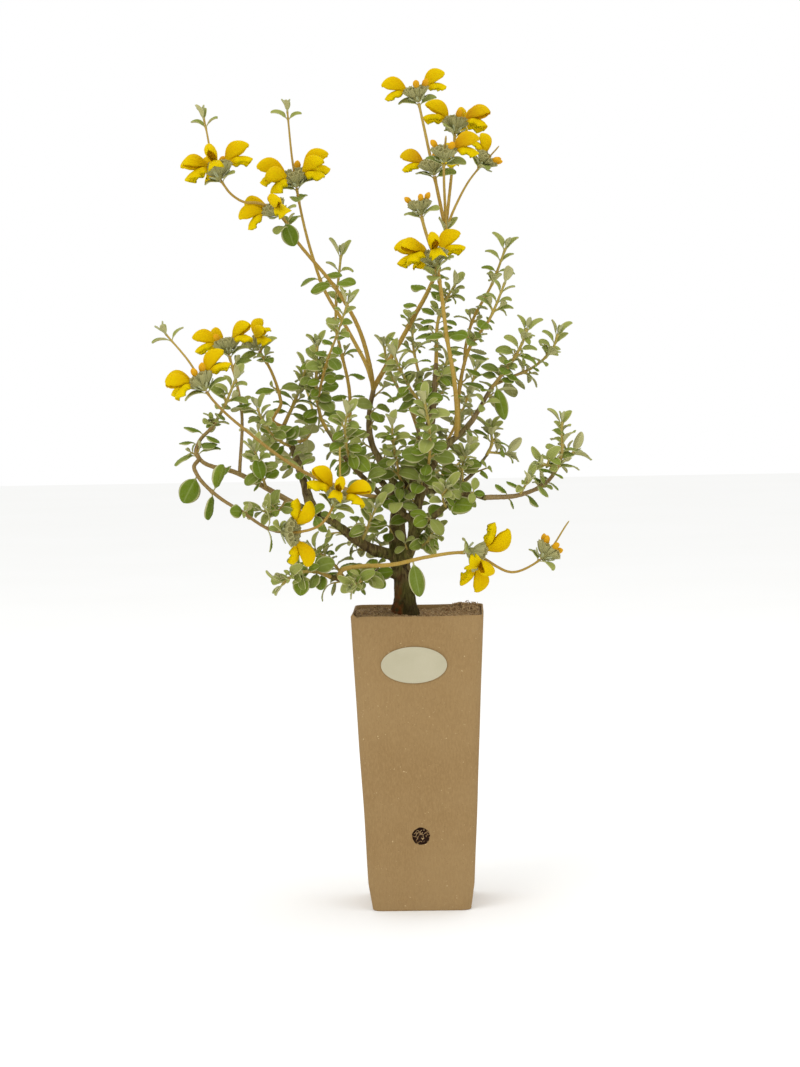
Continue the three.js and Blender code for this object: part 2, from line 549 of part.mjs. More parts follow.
function stemSolid(stem, from, to, joints, ends) {
  const kept = stem.run.filter((at) => at > from + 1 && at < to - 1
    && joints.every((joint) => Math.abs(joint.at - at) > JOINT.clear));
  const edges = joints.flatMap((joint) => [joint.at - JOINT.half, joint.at + JOINT.half]);
  const marks = [from, ...kept, ...edges, to].sort((a, b) => a - b);
  const points = [];
  const faces = [];
  const rings = marks.map((mark) => {
    const place = placeAt(stem, mark);
    const along = placeAt(stem, mark - 0.4).along.add(placeAt(stem, mark + 0.4).along).normalize();
    const side = place.side.clone().addScaledVector(along, -place.side.dot(along)).normalize();
    const other = along.clone().cross(side);
    return ringAt(place.point, side.multiplyScalar(place.radius), other.multiplyScalar(place.radius), 4,
      -Math.PI / 4)
      .map((corner) => points.push(corner) - 1);
  });
  for (let r = 0; r < rings.length - 1; r += 1) {
    const middle = (marks[r] + marks[r + 1]) / 2;
    const joint = joints.find(({ at }) => Math.abs(at - middle) < 0.05);
    for (let k = 0; k < 4; k += 1) {
      const next = (k + 1) % 4;
      const quad = [rings[r][k], rings[r][next], rings[r + 1][next], rings[r + 1][k]];
      const blade = joint?.blades[k];
      if (blade) {
        let row = quad;
        for (const shape of LEAF_ROWS) row = drawOut(points, faces, row, bladeRow(blade, shape));
        closeTo(points, faces, row, bladeAt(blade, 1).point);
      } else faces.push([quad[0], quad[1], quad[2]], [quad[0], quad[2], quad[3]]);
    }
  }
  const head = rings[rings.length - 1];
  const tip = placeAt(stem, to);
  closeTo(points, faces, head, tip.point.clone().addScaledVector(tip.along, ends ? tip.radius * 1.2 : 0));
  const foot = points.push(placeAt(stem, from).point) - 1;
  for (let k = 0; k < 4; k += 1) faces.push([foot, rings[0][(k + 1) % 4], rings[0][k]]);
  return solid(points, faces);
}

// Leaves on two opposite faces of a stem
function pairAt(owner, stem, at, first, age, scale, draw) {
  const place = placeAt(stem, at);
  const faces = facesOf(place);
  const blades = [null, null, null, null];
  for (const k of [first % 4, (first + 2) % 4]) {
    blades[k] = settle(owner, leafFor(place, faces[k], place.radius * 0.7, age, scale, draw));
  }
  return { at, blades };
}

// The pair of bracts under a whorl
const BRACT = { below: 1.6, scale: 1, age: 0.35, apart: 9 };

function bracts(owner, part) {
  if (part.ends) return [];
  const at = part.to - BRACT.below;
  const first = Math.abs(placeAt(part.stem, at).side.dot(RIGHT)) > 0.7 ? 0 : 1;
  return [pairAt(owner, part.stem, at, first, BRACT.age, BRACT.scale, part.draw)];
}

// Opposite pairs, each at right angles to the last, close together at the tip and wider apart below
function foliage(owner, part) {
  const joints = [];
  for (let i = 0; i < part.pairs; i += 1) {
    const share = (i / part.pairs) ** 1.2;
    const top = part.to - (part.ends ? JOINT.tip : BRACT.apart);
    const at = top - (top - part.bare) * share;
    const age = Math.min(1, part.ends ? i / 3.5 : 0.6 + i / 5);
    joints.push(pairAt(owner, part.stem, at, i, age, 1, part.draw));
  }
  return joints.filter(({ blades }) => blades.some((blade) => blade));
}

// A whorl has seven florets round a short core. Each is a calyx drawn out of one face of the core, and it
// is bare, or holds a bud, or an open corolla with a keeled hood and a three-lobed lip.
const WHORL = { florets: 7, below: 3.9, core: 3, half: 1.6, stub: 6 };
// A corolla or bud leans out by its tilt, and its calyx stands steeper than that by its nod
const TILTS = { open: 28, bud: 54, bare: 50 };
const NODS = { open: 30, bud: 8, bare: 0 };
// Open flowers on the side towards the photo's viewer hang lower
const HANG = 16;
const CALYX = { length: 7.8, mouth: 1.95 };
// A lip is a saddle along a blade's midline, drawn out of the underside of one step of the hood, and its
// lobes hang down on both sides. Rows are [share of the length, share of the half width, how far the edges
// hang].
const LIP_STEP = 2;
const LIP_ROWS = [[0.36, 1, 4.2], [0.58, 0.74, 4], [0.8, 1, 4.4]];
// Rows are [along, back, half width below, half width at the ridge, half height], in mm from the mouth
const HOOD_ROWS = [[-0.6, 0.2, 1.2, 1.2, 1.2], [3.6, 2.4, 2.4, 1.1, 3.4], [8.8, 2.6, 3.3, 1.1, 4.6],
  [14, 1.2, 2.8, 1.2, 3.2]];
const HOOD_TIP = [16.4, -1];
const BUD_ROWS = [[2.6, 0, 1.7, 1.7, 1.7]];
const BUD_TIP = [5.6, 0];

function floretFor(place, degrees, twist, tilt, size, kind) {
  const axis = place.along;
  const foot = place.point.clone().addScaledVector(around(axis, degrees), WHORL.core * 0.9);
  const out = around(axis, degrees + twist);
  const leaning = (angle) => out.clone().multiplyScalar(Math.cos(angle * RAD))
    .addScaledVector(axis, Math.sin(angle * RAD));
  const along = leaning(tilt);
  const back = axis.clone().addScaledVector(along, -axis.dot(along)).normalize();
  const side = axis.clone().cross(out);
  const mouth = foot.clone().addScaledVector(leaning(tilt + NODS[kind]), CALYX.length * size);
  return { along, back, side, foot, mouth, size, kind };
}

function offset(floret, along, back) {
  return floret.mouth.clone().addScaledVector(floret.along, along * floret.size)
    .addScaledVector(floret.back, back * floret.size);
}

// The florets' kinds in order round the whorl, starting at its first open flower or bud
function kindsOf(spec) {
  const kinds = Array(WHORL.florets).fill("bare");
  const start = [...spec.open, ...spec.bud][0];
  const step = 360 / WHORL.florets;
  for (const kind of ["open", "bud"]) {
    for (const degrees of spec[kind]) {
      let slot = Math.round((((degrees - start) % 360) + 360) / step) % WHORL.florets;
      while (kinds[slot] !== "bare") slot = (slot + 1) % WHORL.florets;
      kinds[slot] = kind;
    }
  }
  return kinds.map((kind, i) => ({ kind, degrees: start + step * i }));
}

function boxRow(floret, [along, back, low, ridge, high]) {
  const centre = offset(floret, along, back);
  const corner = (across, up) => centre.clone().addScaledVector(floret.side, across * floret.size)
    .addScaledVector(floret.back, up * floret.size);
  return [corner(-low, -high), corner(low, -high), corner(ridge, high), corner(-ridge, high)];
}

function floretRows(floret) {
  const mouth = boxRow(floret, [0, 0, CALYX.mouth, CALYX.mouth, CALYX.mouth]);
  const boxes = (rows) => rows.map((row) => boxRow(floret, row));
  if (floret.kind === "open") return [mouth, ...boxes(HOOD_ROWS), offset(floret, ...HOOD_TIP)];
  if (floret.kind === "bud") return [mouth, ...boxes(BUD_ROWS), offset(floret, ...BUD_TIP)];
  return [mouth, offset(floret, -1.8, 0)];
}

function lipBlade(floret) {
  return { root: offset(floret, -1.6, -0.8), up: floret.back, out: floret.along, roll: 0,
    length: LIP.length * floret.size, width: LIP.width * floret.size, lift: LIP.lift, bend: LIP.bend };
}

function lipRow(floret, blade, [share, wide, drop]) {
  const { point, side } = bladeAt(blade, share);
  const reach = blade.width * 0.5 * wide;
  const crest = reach * LIP.crest;
  const corner = (across, up) => point.clone().addScaledVector(side, across)
    .addScaledVector(floret.back, up * floret.size);
  return [corner(-reach, -drop), corner(reach, -drop), corner(crest, LIP.half), corner(-crest, LIP.half)];
}

function drawLip(points, faces, floret, root) {
  const blade = lipBlade(floret);
  const end = LIP_ROWS.reduce((from, row) => drawOut(points, faces, from, lipRow(floret, blade, row)), root);
  closeTo(points, faces, end, bladeAt(blade, 1).point);
}

function whorlSolid(stem, distance, florets) {
  const { point, along } = placeAt(stem, distance);
  const step = 360 / florets.length;
  const ring = (shift) => florets.map(({ degrees }) => point.clone().addScaledVector(along, shift)
    .addScaledVector(around(along, degrees - step / 2), WHORL.core));
  const points = [...ring(-WHORL.half), ...ring(WHORL.half),
    point.clone().addScaledVector(along, -WHORL.below), point.clone().addScaledVector(along, WHORL.below)];
  const faces = [];
  const count = florets.length;
  florets.forEach(({ floret }, k) => {
    const next = (k + 1) % count;
    faces.push([2 * count, next, k], [2 * count + 1, count + k, count + next]);
    let from = [k, next, count + next, count + k];
    const rows = floretRows(floret);
    const tip = rows.pop();
    rows.forEach((row, i) => {
      const parts = floret.kind === "open" && i === LIP_STEP;
      const to = drawOut(points, faces, from, row, parts ? 0 : -1);
      if (parts) drawLip(points, faces, floret, [from[0], from[1], to[1], to[0]]);
      from = to;
    });
    closeTo(points, faces, from, tip);
  });
  return solid(points, faces);
}

// The spheres that a floret fills. Calyx spheres are [share of its length, radius], hood spheres are
// [along, back, to each side, radius], and lip spheres are [share of the length, share of the half width,
// how far the side ones hang].
const CALYX_FILL = [[0.25, 1.6], [0.62, 2], [0.94, 2.2]];
const HOOD_FILL = [[2, 1.6, 0, 2], [4.5, 0.3, 1.2, 1.5], [4.5, 3, 0, 2.2], [8, -0.1, 1.8, 1.6],
  [8, 3, 0, 2.6], [8, 5.2, 0, 1.8], [11.2, -0.1, 1.9, 1.6], [11.2, 3, 0, 2.6], [14.2, -0.2, 0.8, 1.5],
  [14, 1.8, 0, 2.1], [15.7, -0.6, 0, 1]];
const LIP_FILL = [[0.22, 0.6, 1.8], [0.36, 0.8, 3.4], [0.5, 0.66, 3], [0.66, 0.66, 2.8], [0.82, 0.8, 3.4],
  [0.95, 0, 0]];

function fillOf(floret) {
  const size = floret.size;
  const onCalyx = (share) => floret.foot.clone().lerp(floret.mouth, share);
  const fill = CALYX_FILL.map(([share, radius]) => [onCalyx(share), radius * size]);
  if (floret.kind === "bud") fill.push([offset(floret, 2.5, 0), 2.4 * size]);
  if (floret.kind !== "open") return fill;
  for (const [along, back, apart, radius] of HOOD_FILL) {
    for (const across of apart > 0 ? [-apart, apart] : [0]) {
      fill.push([offset(floret, along, back).addScaledVector(floret.side, across * size), radius * size]);
    }
  }
  const lip = lipBlade(floret);
  for (const [share, wide, hang] of LIP_FILL) {
    const frame = bladeAt(lip, share);
    for (const reach of wide > 0 ? [-1, 0, 1] : [0]) {
      fill.push([frame.point.clone().addScaledVector(frame.side, reach * wide * lip.width * 0.5)
        .addScaledVector(floret.back, -hang * size * Math.abs(reach)), 1.1 * size]);
    }
  }
  return fill;
}

// How deep the fill of a floret reaches into other stems and flowers, at its worst
function crossing(owner, fill) {
  let worst = 0;
  for (const [point, radius] of fill) {
    for (const other of near(point)) {
      if (other.owner === owner) continue;
      worst = Math.max(worst, radius + other.radius + FLORET_ROOM - other.point.distanceTo(point));
    }
  }
  return worst;
}

// Each floret is swung, tilted or made smaller until it is clear, and otherwise takes its least crossed place
const FLORET_ROOM = 0.4;
const FLORET_SIZES = [1, 0.9];
const FLORET_SWINGS = [[0, 0], [9, 0], [-9, 0], [0, 10], [0, -10], [18, 0], [-18, 0], [12, 12], [-12, 12],
  [12, -12], [-12, -12], [26, 0], [-26, 0], [0, 20], [0, -20], [22, 16], [-22, 16], [22, -16], [-22, -16],
  [0, 32]];

function settleFloret(owner, place, degrees, tilt, size, kind) {
  let best = null;
  let least = Infinity;
  for (const scale of FLORET_SIZES) {
    for (const [twist, lean] of FLORET_SWINGS) {
      const floret = floretFor(place, degrees, twist, tilt + lean, size * scale, kind);
      const fill = fillOf(floret);
      const depth = crossing(owner, fill);
      if (depth < least - 0.01) {
        least = depth;
        best = floret;
      }
      if (least <= 0) break;
    }
    if (least <= 0) break;
  }
  for (const [point, radius] of fillOf(best)) put(owner, "floret", point, radius);
  return best;
}

function whorl(owner, stem, distance, spec, draw) {
  const place = placeAt(stem, distance);
  return kindsOf(spec).map(({ kind, degrees }) => {
    const near = kind === "open" ? Math.max(0, -around(place.along, degrees).y) : 0;
    const tilt = TILTS[kind] + draw(-8, 8) - HANG * near;
    const size = spec.size * draw(0.94, 1.06);
    return { degrees, floret: settleFloret(owner, place, degrees, tilt, size, kind) };
  });
}

// Everything is laid out first, so that leaves can keep clear of stems and flowers that come later
const lines = {};
for (const [name, [parent, foot, tip, way]] of Object.entries(WOOD)) {
  const points = way.map(seen);
  if (parent) points[0] = placeAt(lines[parent], nearestOn(lines[parent], points[0])).point;
  lines[name] = line(points, foot, tip, STRAIGHT.wood, 0);
  putLine("wood", lines[name], 0, lines[name].length);
}

// Splits a stem at its whorls: the foot stays with the stem's node, and each whorl takes the stretch above it
function layOut(node, spec, parent, seed) {
  const points = spec.way.map(seen);
  points[0] = placeAt(parent, nearestOn(parent, points[0])).point;
  const draw = drawer(seed);
  const stem = line(points, spec.radius, spec.tip, STRAIGHT.stem, draw(0, 90));
  const heads = (spec.heads ?? []).map((head) => ({ head, at: nearestOn(stem, seen(head.at)) }));
  const foot = heads.length > 0 ? heads[0].at - WHORL.below - GAP : stem.length;
  putLine(node.name, stem, 0, foot);
  node.lines.push({ stem, from: 0, to: foot, pairs: spec.pairs ?? 0, bare: spec.bare ?? 4, draw,
    ends: heads.length === 0 });
  const whorls = heads.map(({ head, at }, i) => {
    const owner = `whorl_${String(whorlNodes.length + 1 + i).padStart(2, "0")}`;
    const from = at - WHORL.below;
    const to = i + 1 < heads.length ? heads[i + 1].at - WHORL.below - GAP : stem.length;
    putLine(owner, stem, from, to);
    return { name: owner, stem, from, to, at, draw, head, ends: i + 1 === heads.length,
      tuft: spec.tuft && i + 1 === heads.length };
  });
  whorlNodes.push(...whorls);
  return stem;
}

const whorlNodes = [];
const stemNodes = Object.entries(STEMS).map(([name, spec], index) => {
  const parent = lines[spec.on];
  const node = { name, parent, lines: [], large: [] };
  const stem = layOut(node, spec, parent, 10 * index + 1);
  (spec.forks ?? []).forEach((fork, i) => layOut(node, fork, stem, 10 * index + 2 + i));
  return node;
});

for (const part of whorlNodes) part.florets = whorl(part.name, part.stem, part.at, part.head, part.draw);

// Single large leaves that stand out in the front view: the stem's node, a mark on the stem, the mark of the
// leaf's tip, and the leaf's width. They take the first depth at which they are clear.
const LARGE = [
  ["right_upper", [495, 385, 2], [505, 420], 9.5],
  ["left_top_flowers", [283, 224, -22], [293, 248], 12],
  ["left_spray", [196, 473, -67], [184, 503], 15],
  ["left_spray", [256, 457, -70], [262, 479], 10],
  ["low_left_tip", [304, 572, -51], [300, 596], 11.5],
  ["low_right", [411, 547, -7], [438, 536], 12],
  ["right_low_near", [445, 504, -34], [473, 506], 13],
  ["low_flowers", [413, 560, -57], [420, 597], 11],
];
const LARGE_ROWS = [[0, 0.12, 0.5], [0.36, 0.98, 0.4], [0.76, 0.82, 0.36]];
const LARGE_FACE = V(0, -1, 0.35);
const SHIFTS = [0, 4, -4, 8, -8, 12, -12];

function largeBlade(node, foot, tip, width) {
  const mark = seen(foot);
  const root = node.lines
    .map(({ stem, from, to }) => {
      const at = Math.min(Math.max(nearestOn(stem, mark), from + 1.5), to - 1.5);
      return placeAt(stem, at).point;
    })
    .reduce((best, point) => (point.distanceTo(mark) < best.distanceTo(mark) ? point : best));
  for (const shift of SHIFTS) {
    const run = seen([...tip, root.dot(AWAY) + shift]).sub(root);
    const out = run.clone().normalize();
    const up = LARGE_FACE.clone().addScaledVector(out, -LARGE_FACE.dot(out)).normalize();
    const blade = { root, out, up, length: run.length() * 1.01, width, lift: 15, bend: 30, roll: 0 };
    const probes = probesOf(blade);
    if (isFree(node.name, probes)) {
      for (const { point, share } of probes) {
        put(node.name, share > 0.4 ? "blade" : "root", point, PROBE_RADIUS);
      }
      return blade;
    }
  }
  return null;
}

for (const [name, foot, tip, width] of LARGE) {
  const node = stemNodes.find((other) => other.name === name);
  const blade = largeBlade(node, foot, tip, width);
  if (blade) node.large.push(blade);
}

function bladeSolid(blade) {
  const points = [];
  const faces = [];
  let row = bladeRow(blade, LARGE_ROWS[0]).map((corner) => points.push(corner) - 1);
  faces.push([row[0], row[2], row[1]], [row[0], row[3], row[2]]);
  for (const shape of LARGE_ROWS.slice(1)) row = drawOut(points, faces, row, bladeRow(blade, shape));
  closeTo(points, faces, row, bladeAt(blade, 1).point);
  return solid(points, faces);
}

const join = (pieces) => pieces.reduce((sum, piece) => sum.add(piece));

// The largest body of what is left, without loose scraps and sealed hollows
const mainBody = (whole) => whole.decompose()
  .reduce((best, piece) => (piece.volume() > best.volume() ? piece : best));

const material = (colour, roughness) => new THREE.MeshStandardMaterial({
  color: colour, roughness, metalness: 0, flatShading: true });
const LOOKS = {
  card: material("#a08359", 0.9),
  label: material("#c5bfa0", 0.7),
  soil: material("#6b4a30", 1),
  bark: material("#6f5a3c", 0.95),
  leaf: material("#7f9150", 0.85),
  flower: material("#d9b400", 0.75),
};

const group = new THREE.Group();

function addMesh(name, whole, look) {
  const mesh = whole.getMesh();
  const geometry = new THREE.BufferGeometry();
  geometry.setAttribute("position", new THREE.BufferAttribute(Float32Array.from(mesh.vertProperties), 3));
  geometry.setIndex(new THREE.BufferAttribute(Uint32Array.from(mesh.triVerts), 1));
  geometry.computeVertexNormals();
  const part = new THREE.Mesh(geometry, look);
  part.name = name;
  group.add(part);
}

// Wood: the trunk and limbs as one body
const woodPart = (grow) => Object.entries(lines)
  .map(([name, stem]) => limb(stem, name === "trunk" ? 8 : 5, grow));
const wood = mainBody(join(woodPart(0)));

// Pot: a rounded square sleeve that tapers to its base, with its side panels tucked in at the foot
const insetAt = (z) => (POT.top + (POT.base - POT.top) * (1 - z / POT.height)) / 2;

function squareRing(z, half, tuck) {
  const corner = POT.corner;
  const ring = [];
  const centres = [[1, 1, 0], [-1, 1, 90], [-1, -1, 180], [1, -1, 270]];
  for (const [x, y, from] of centres) {
    for (let k = 0; k <= 2; k += 1) {
      const angle = (from + 45 * k) * RAD;
      const across = x * (half - corner) + corner * Math.cos(angle);
      ring.push(V(across - Math.sign(across) * tuck, y * (half - corner) + corner * Math.sin(angle), z));
    }
  }
  return ring;
}

const potInside = (z, wall) => insetAt(z) - wall;
const potRings = [squareRing(0, insetAt(0), POT.tuck), squareRing(POT.tuckHeight, insetAt(POT.tuckHeight), 0),
  squareRing(POT.height, insetAt(POT.height), 0), squareRing(POT.height, potInside(POT.height, POT.wall), 0),
  squareRing(POT.tuckHeight, potInside(POT.tuckHeight, POT.wall), 0),
  squareRing(POT.wall, potInside(POT.wall, POT.wall), POT.tuck)];
const frontTilt = Math.atan2(insetAt(POT.height) - insetAt(0), POT.height);

const drainCutter = new THREE.CylinderGeometry(DRAIN.radius, DRAIN.radius, 14, 16)
  .translate(DRAIN.across, -insetAt(DRAIN.up), DRAIN.up);
const pot = skin(potRings, V(0, 0, 0), V(0, 0, POT.wall)).subtract(solidOf(drainCutter));
addMesh("pot", pot, LOOKS.card);

// Label: a blank oval on the front panel, square to it
const LABEL_TILT = new THREE.Matrix4().makeRotationX(frontTilt);
const labelPlate = new THREE.CylinderGeometry(0.5, 0.5, LABEL.thick, 22)
  .scale(LABEL.width, 1, LABEL.height).applyMatrix4(LABEL_TILT)
  .translate(LABEL.across, -insetAt(LABEL.up) - GAP - LABEL.thick / 2, LABEL.up);
addMesh("label", solidOf(labelPlate), LOOKS.label);

// Soil: fills the pot, with a mounded top and a plain hole that the trunk stands in
const MOUNDS = [[-30, 6, 5, 13], [30, 30, 3.5, 12], [18, 8, -2.5, 14], [-12, -30, 1.5, 12]];

function soilHeight(x, y) {
  const far = (cx, cy) => (x - cx) ** 2 + (y - cy) ** 2;
  const mounds = MOUNDS.map(([cx, cy, high, wide]) => high * Math.exp(-far(cx, cy) / (2 * wide ** 2)));
  return SOIL.top + mounds.reduce((sum, rise) => sum + rise) + 0.7 * Math.sin(x / 4.5) * Math.cos(y / 5.5);
}

const soilRing = (z, tuck) => squareRing(z, potInside(z, POT.wall + GAP), tuck);
const soilTop = [1, 0.72, 0.36].map((share) => squareRing(SOIL.top, potInside(SOIL.top, POT.wall + GAP), 0)
  .map((p) => V(p.x * share, p.y * share, soilHeight(p.x * share, p.y * share))));
const soilRings = [soilRing(POT.wall + GAP, POT.tuck), soilRing(POT.tuckHeight, 0), ...soilTop];
const soilBody = skin(soilRings, V(0, 0, POT.wall + GAP), V(0, 0, soilHeight(0, 0)));
addMesh("soil", soilBody.subtract(woodPart(GAP)[0]), LOOKS.soil);
addMesh("wood", wood, LOOKS.bark);

// The bracts under the flowers are placed before the other leaves, so that they always find room
const grownWood = join(woodPart(GAP));

for (const part of whorlNodes) {
  part.joints = part.tuft ? [pairAt(part.name, part.stem, part.to - JOINT.tip, 0, 0, 0.75, part.draw),
    pairAt(part.name, part.stem, part.to - JOINT.tip * 3, 1, 0.25, 0.8, part.draw)] : bracts(part.name, part);
}

for (const node of stemNodes) {
  for (const part of node.lines) part.joints = bracts(node.name, part);
}

for (const node of stemNodes) {
  for (const part of node.lines) part.joints.push(...foliage(node.name, part));
}

const SHARED_FOOT = 22;

for (const [index, node] of stemNodes.entries()) {
  const foot = node.lines[0].stem.path[0];
  const beside = stemNodes.slice(0, index).map((other) => other.lines[0])
    .filter(({ stem }) => stem.path[0].distanceTo(foot) < SHARED_FOOT / 2)
    .map(({ stem }) => limb(stem, 8, GAP));
  const stalks = node.lines
    .map(({ stem, from, to, joints, ends }) => stemSolid(stem, from, to, joints, ends));
  stalks.push(...node.large.map(bladeSolid));
  const whole = join(stalks).simplify(FINE).subtract(join([grownWood, ...beside]));
  addMesh(node.name, mainBody(whole), LOOKS.leaf);
}

for (const part of whorlNodes) {
  const pieces = [whorlSolid(part.stem, part.at, part.florets)];
  if (part.to - part.at > WHORL.stub) {
    pieces.push(stemSolid(part.stem, part.at + 1, part.to, part.joints, part.ends));
  }
  addMesh(part.name, mainBody(join(pieces).simplify(FINE)), LOOKS.flower);
}

export default group;
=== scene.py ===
# Potted Phlomis lanata: the looks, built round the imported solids. The stems, leaves and flowers are laid out
# by the same rules as the solids, in millimetres, and each solid's place is then taken by a finer piece.
import math

import bpy
import numpy as np
from mathutils import Matrix, Vector, noise


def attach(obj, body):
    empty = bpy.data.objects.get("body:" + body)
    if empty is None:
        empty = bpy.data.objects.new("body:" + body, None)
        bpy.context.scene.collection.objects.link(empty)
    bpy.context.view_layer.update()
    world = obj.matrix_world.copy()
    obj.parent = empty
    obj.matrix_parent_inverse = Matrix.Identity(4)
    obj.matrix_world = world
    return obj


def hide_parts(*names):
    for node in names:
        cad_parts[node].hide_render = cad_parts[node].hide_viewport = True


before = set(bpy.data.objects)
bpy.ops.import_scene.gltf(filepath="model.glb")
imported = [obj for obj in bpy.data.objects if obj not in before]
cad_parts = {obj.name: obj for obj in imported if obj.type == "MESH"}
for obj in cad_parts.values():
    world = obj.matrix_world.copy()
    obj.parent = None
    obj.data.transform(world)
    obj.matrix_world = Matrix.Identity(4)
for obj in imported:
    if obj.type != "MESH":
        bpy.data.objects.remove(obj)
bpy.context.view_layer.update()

MM = 0.001
RAD = math.pi / 180
TURN = 2 * math.pi
# Where each kind of piece starts its draws
SEEDS = dict(stem=5000, large=5600, whorl=6000, axil=7000, spur=8111, fibre=9001)

# Driving dimensions, as in the solids
POT = dict(height=200.0, top=89.0, base=70.0, wall=1.4, corner=6.0, tuck_height=18.0, tuck=1.8)
DRAIN = dict(radius=6.0, across=0.2, up=51.0)
LABEL = dict(width=44.0, height=24.5, across=-2.4, up=167.0, thick=0.5)
SOIL_TOP = 196.0
GAP = 0.3
STRAIGHT = dict(wood=1.0, stem=1.4)
LEAF = dict(young=14.0, old=17.0, slim=0.4, broad=0.68, turn=32.0)
LIP = dict(length=17.5, width=9.0, lift=5.0, bend=75.0)
VIEW = dict(distance=2000.0, azimuth=1.5, pitch=3.8, roll=1.0, focal=2950.0, across=-11.3, up=252.0)
VIEW_SIZE = (800.0, 1067.0)

# Woody limbs: parent, radius at the foot, radius at the tip, and waypoints in the front view
WOOD = {
    "trunk": [None, 8.2, 1.5, [[405, 632, 0], [405, 606, 0], [404, 586, 0], [400, 560, 2], [398, 535, 5],
        [398, 510, 8],
        [403, 492, 10], [411, 476, 10], [420, 460, 8], [426, 444, 6], [430, 424, 4], [433, 404, 2],
        [435, 384, 0],
        [436, 364, -2]]],
    "limb_right": ["trunk", 4.4, 1.3, [[405, 566, 0], [412, 542, -8], [414, 519, -13], [421, 497, -13],
        [427, 477, -11],
        [443, 449, -7], [459, 436, -4], [472, 420, -2], [484, 400, 0], [492, 387, 0]]],
    "limb_left": ["trunk", 4.3, 2.0, [[397, 557, 2], [372, 549, -12], [350, 534, -24], [329, 520, -34],
        [310, 510, -40],
        [294, 504, -43]]],
    "limb_low_left": ["trunk", 3.4, 1.5, [[401, 574, 0], [385, 573, -10], [368, 575, -18], [346, 580, -25],
        [330, 577, -32]]],
    "limb_left_up": ["limb_left", 3.4, 1.7, [[312, 511, -39], [304, 484, -31], [298, 462, -21],
        [290, 441, -10], [284, 425, 0]]],
    "limb_inner_left": ["limb_right", 2.3, 1.2, [[413, 521, -12], [397, 510, -19], [384, 498, -21],
        [371, 485, -20],
        [355, 470, -15], [343, 455, -8], [333, 441, 0], [327, 430, 6]]],
    "limb_inner_back": ["trunk", 2.5, 1.2, [[399, 502, 9], [380, 479, 22], [366, 463, 30], [353, 443, 37],
        [350, 424, 42]]],
    "limb_mid": ["trunk", 2.8, 1.6, [[402, 494, 10], [389, 474, 12], [375, 452, 13], [369, 430, 14],
        [370, 408, 15],
        [374, 386, 17]]],
    "limb_right_low": ["limb_right", 2.6, 1.8, [[411, 546, -7], [420, 529, -18], [434, 516, -26],
        [455, 502, -33],
        [470, 494, -37], [486, 498, -42]]],
    "limb_right_mid": ["limb_right", 2.0, 1.1, [[423, 491, -12], [434, 490, 0], [447, 490, 8], [463, 482, 14],
        [476, 470, 18], [487, 455, 20]]],
    "limb_back": ["trunk", 3.0, 1.3, [[399, 520, 7], [407, 500, 30], [416, 478, 52], [420, 452, 70],
        [418, 428, 82]]],
}

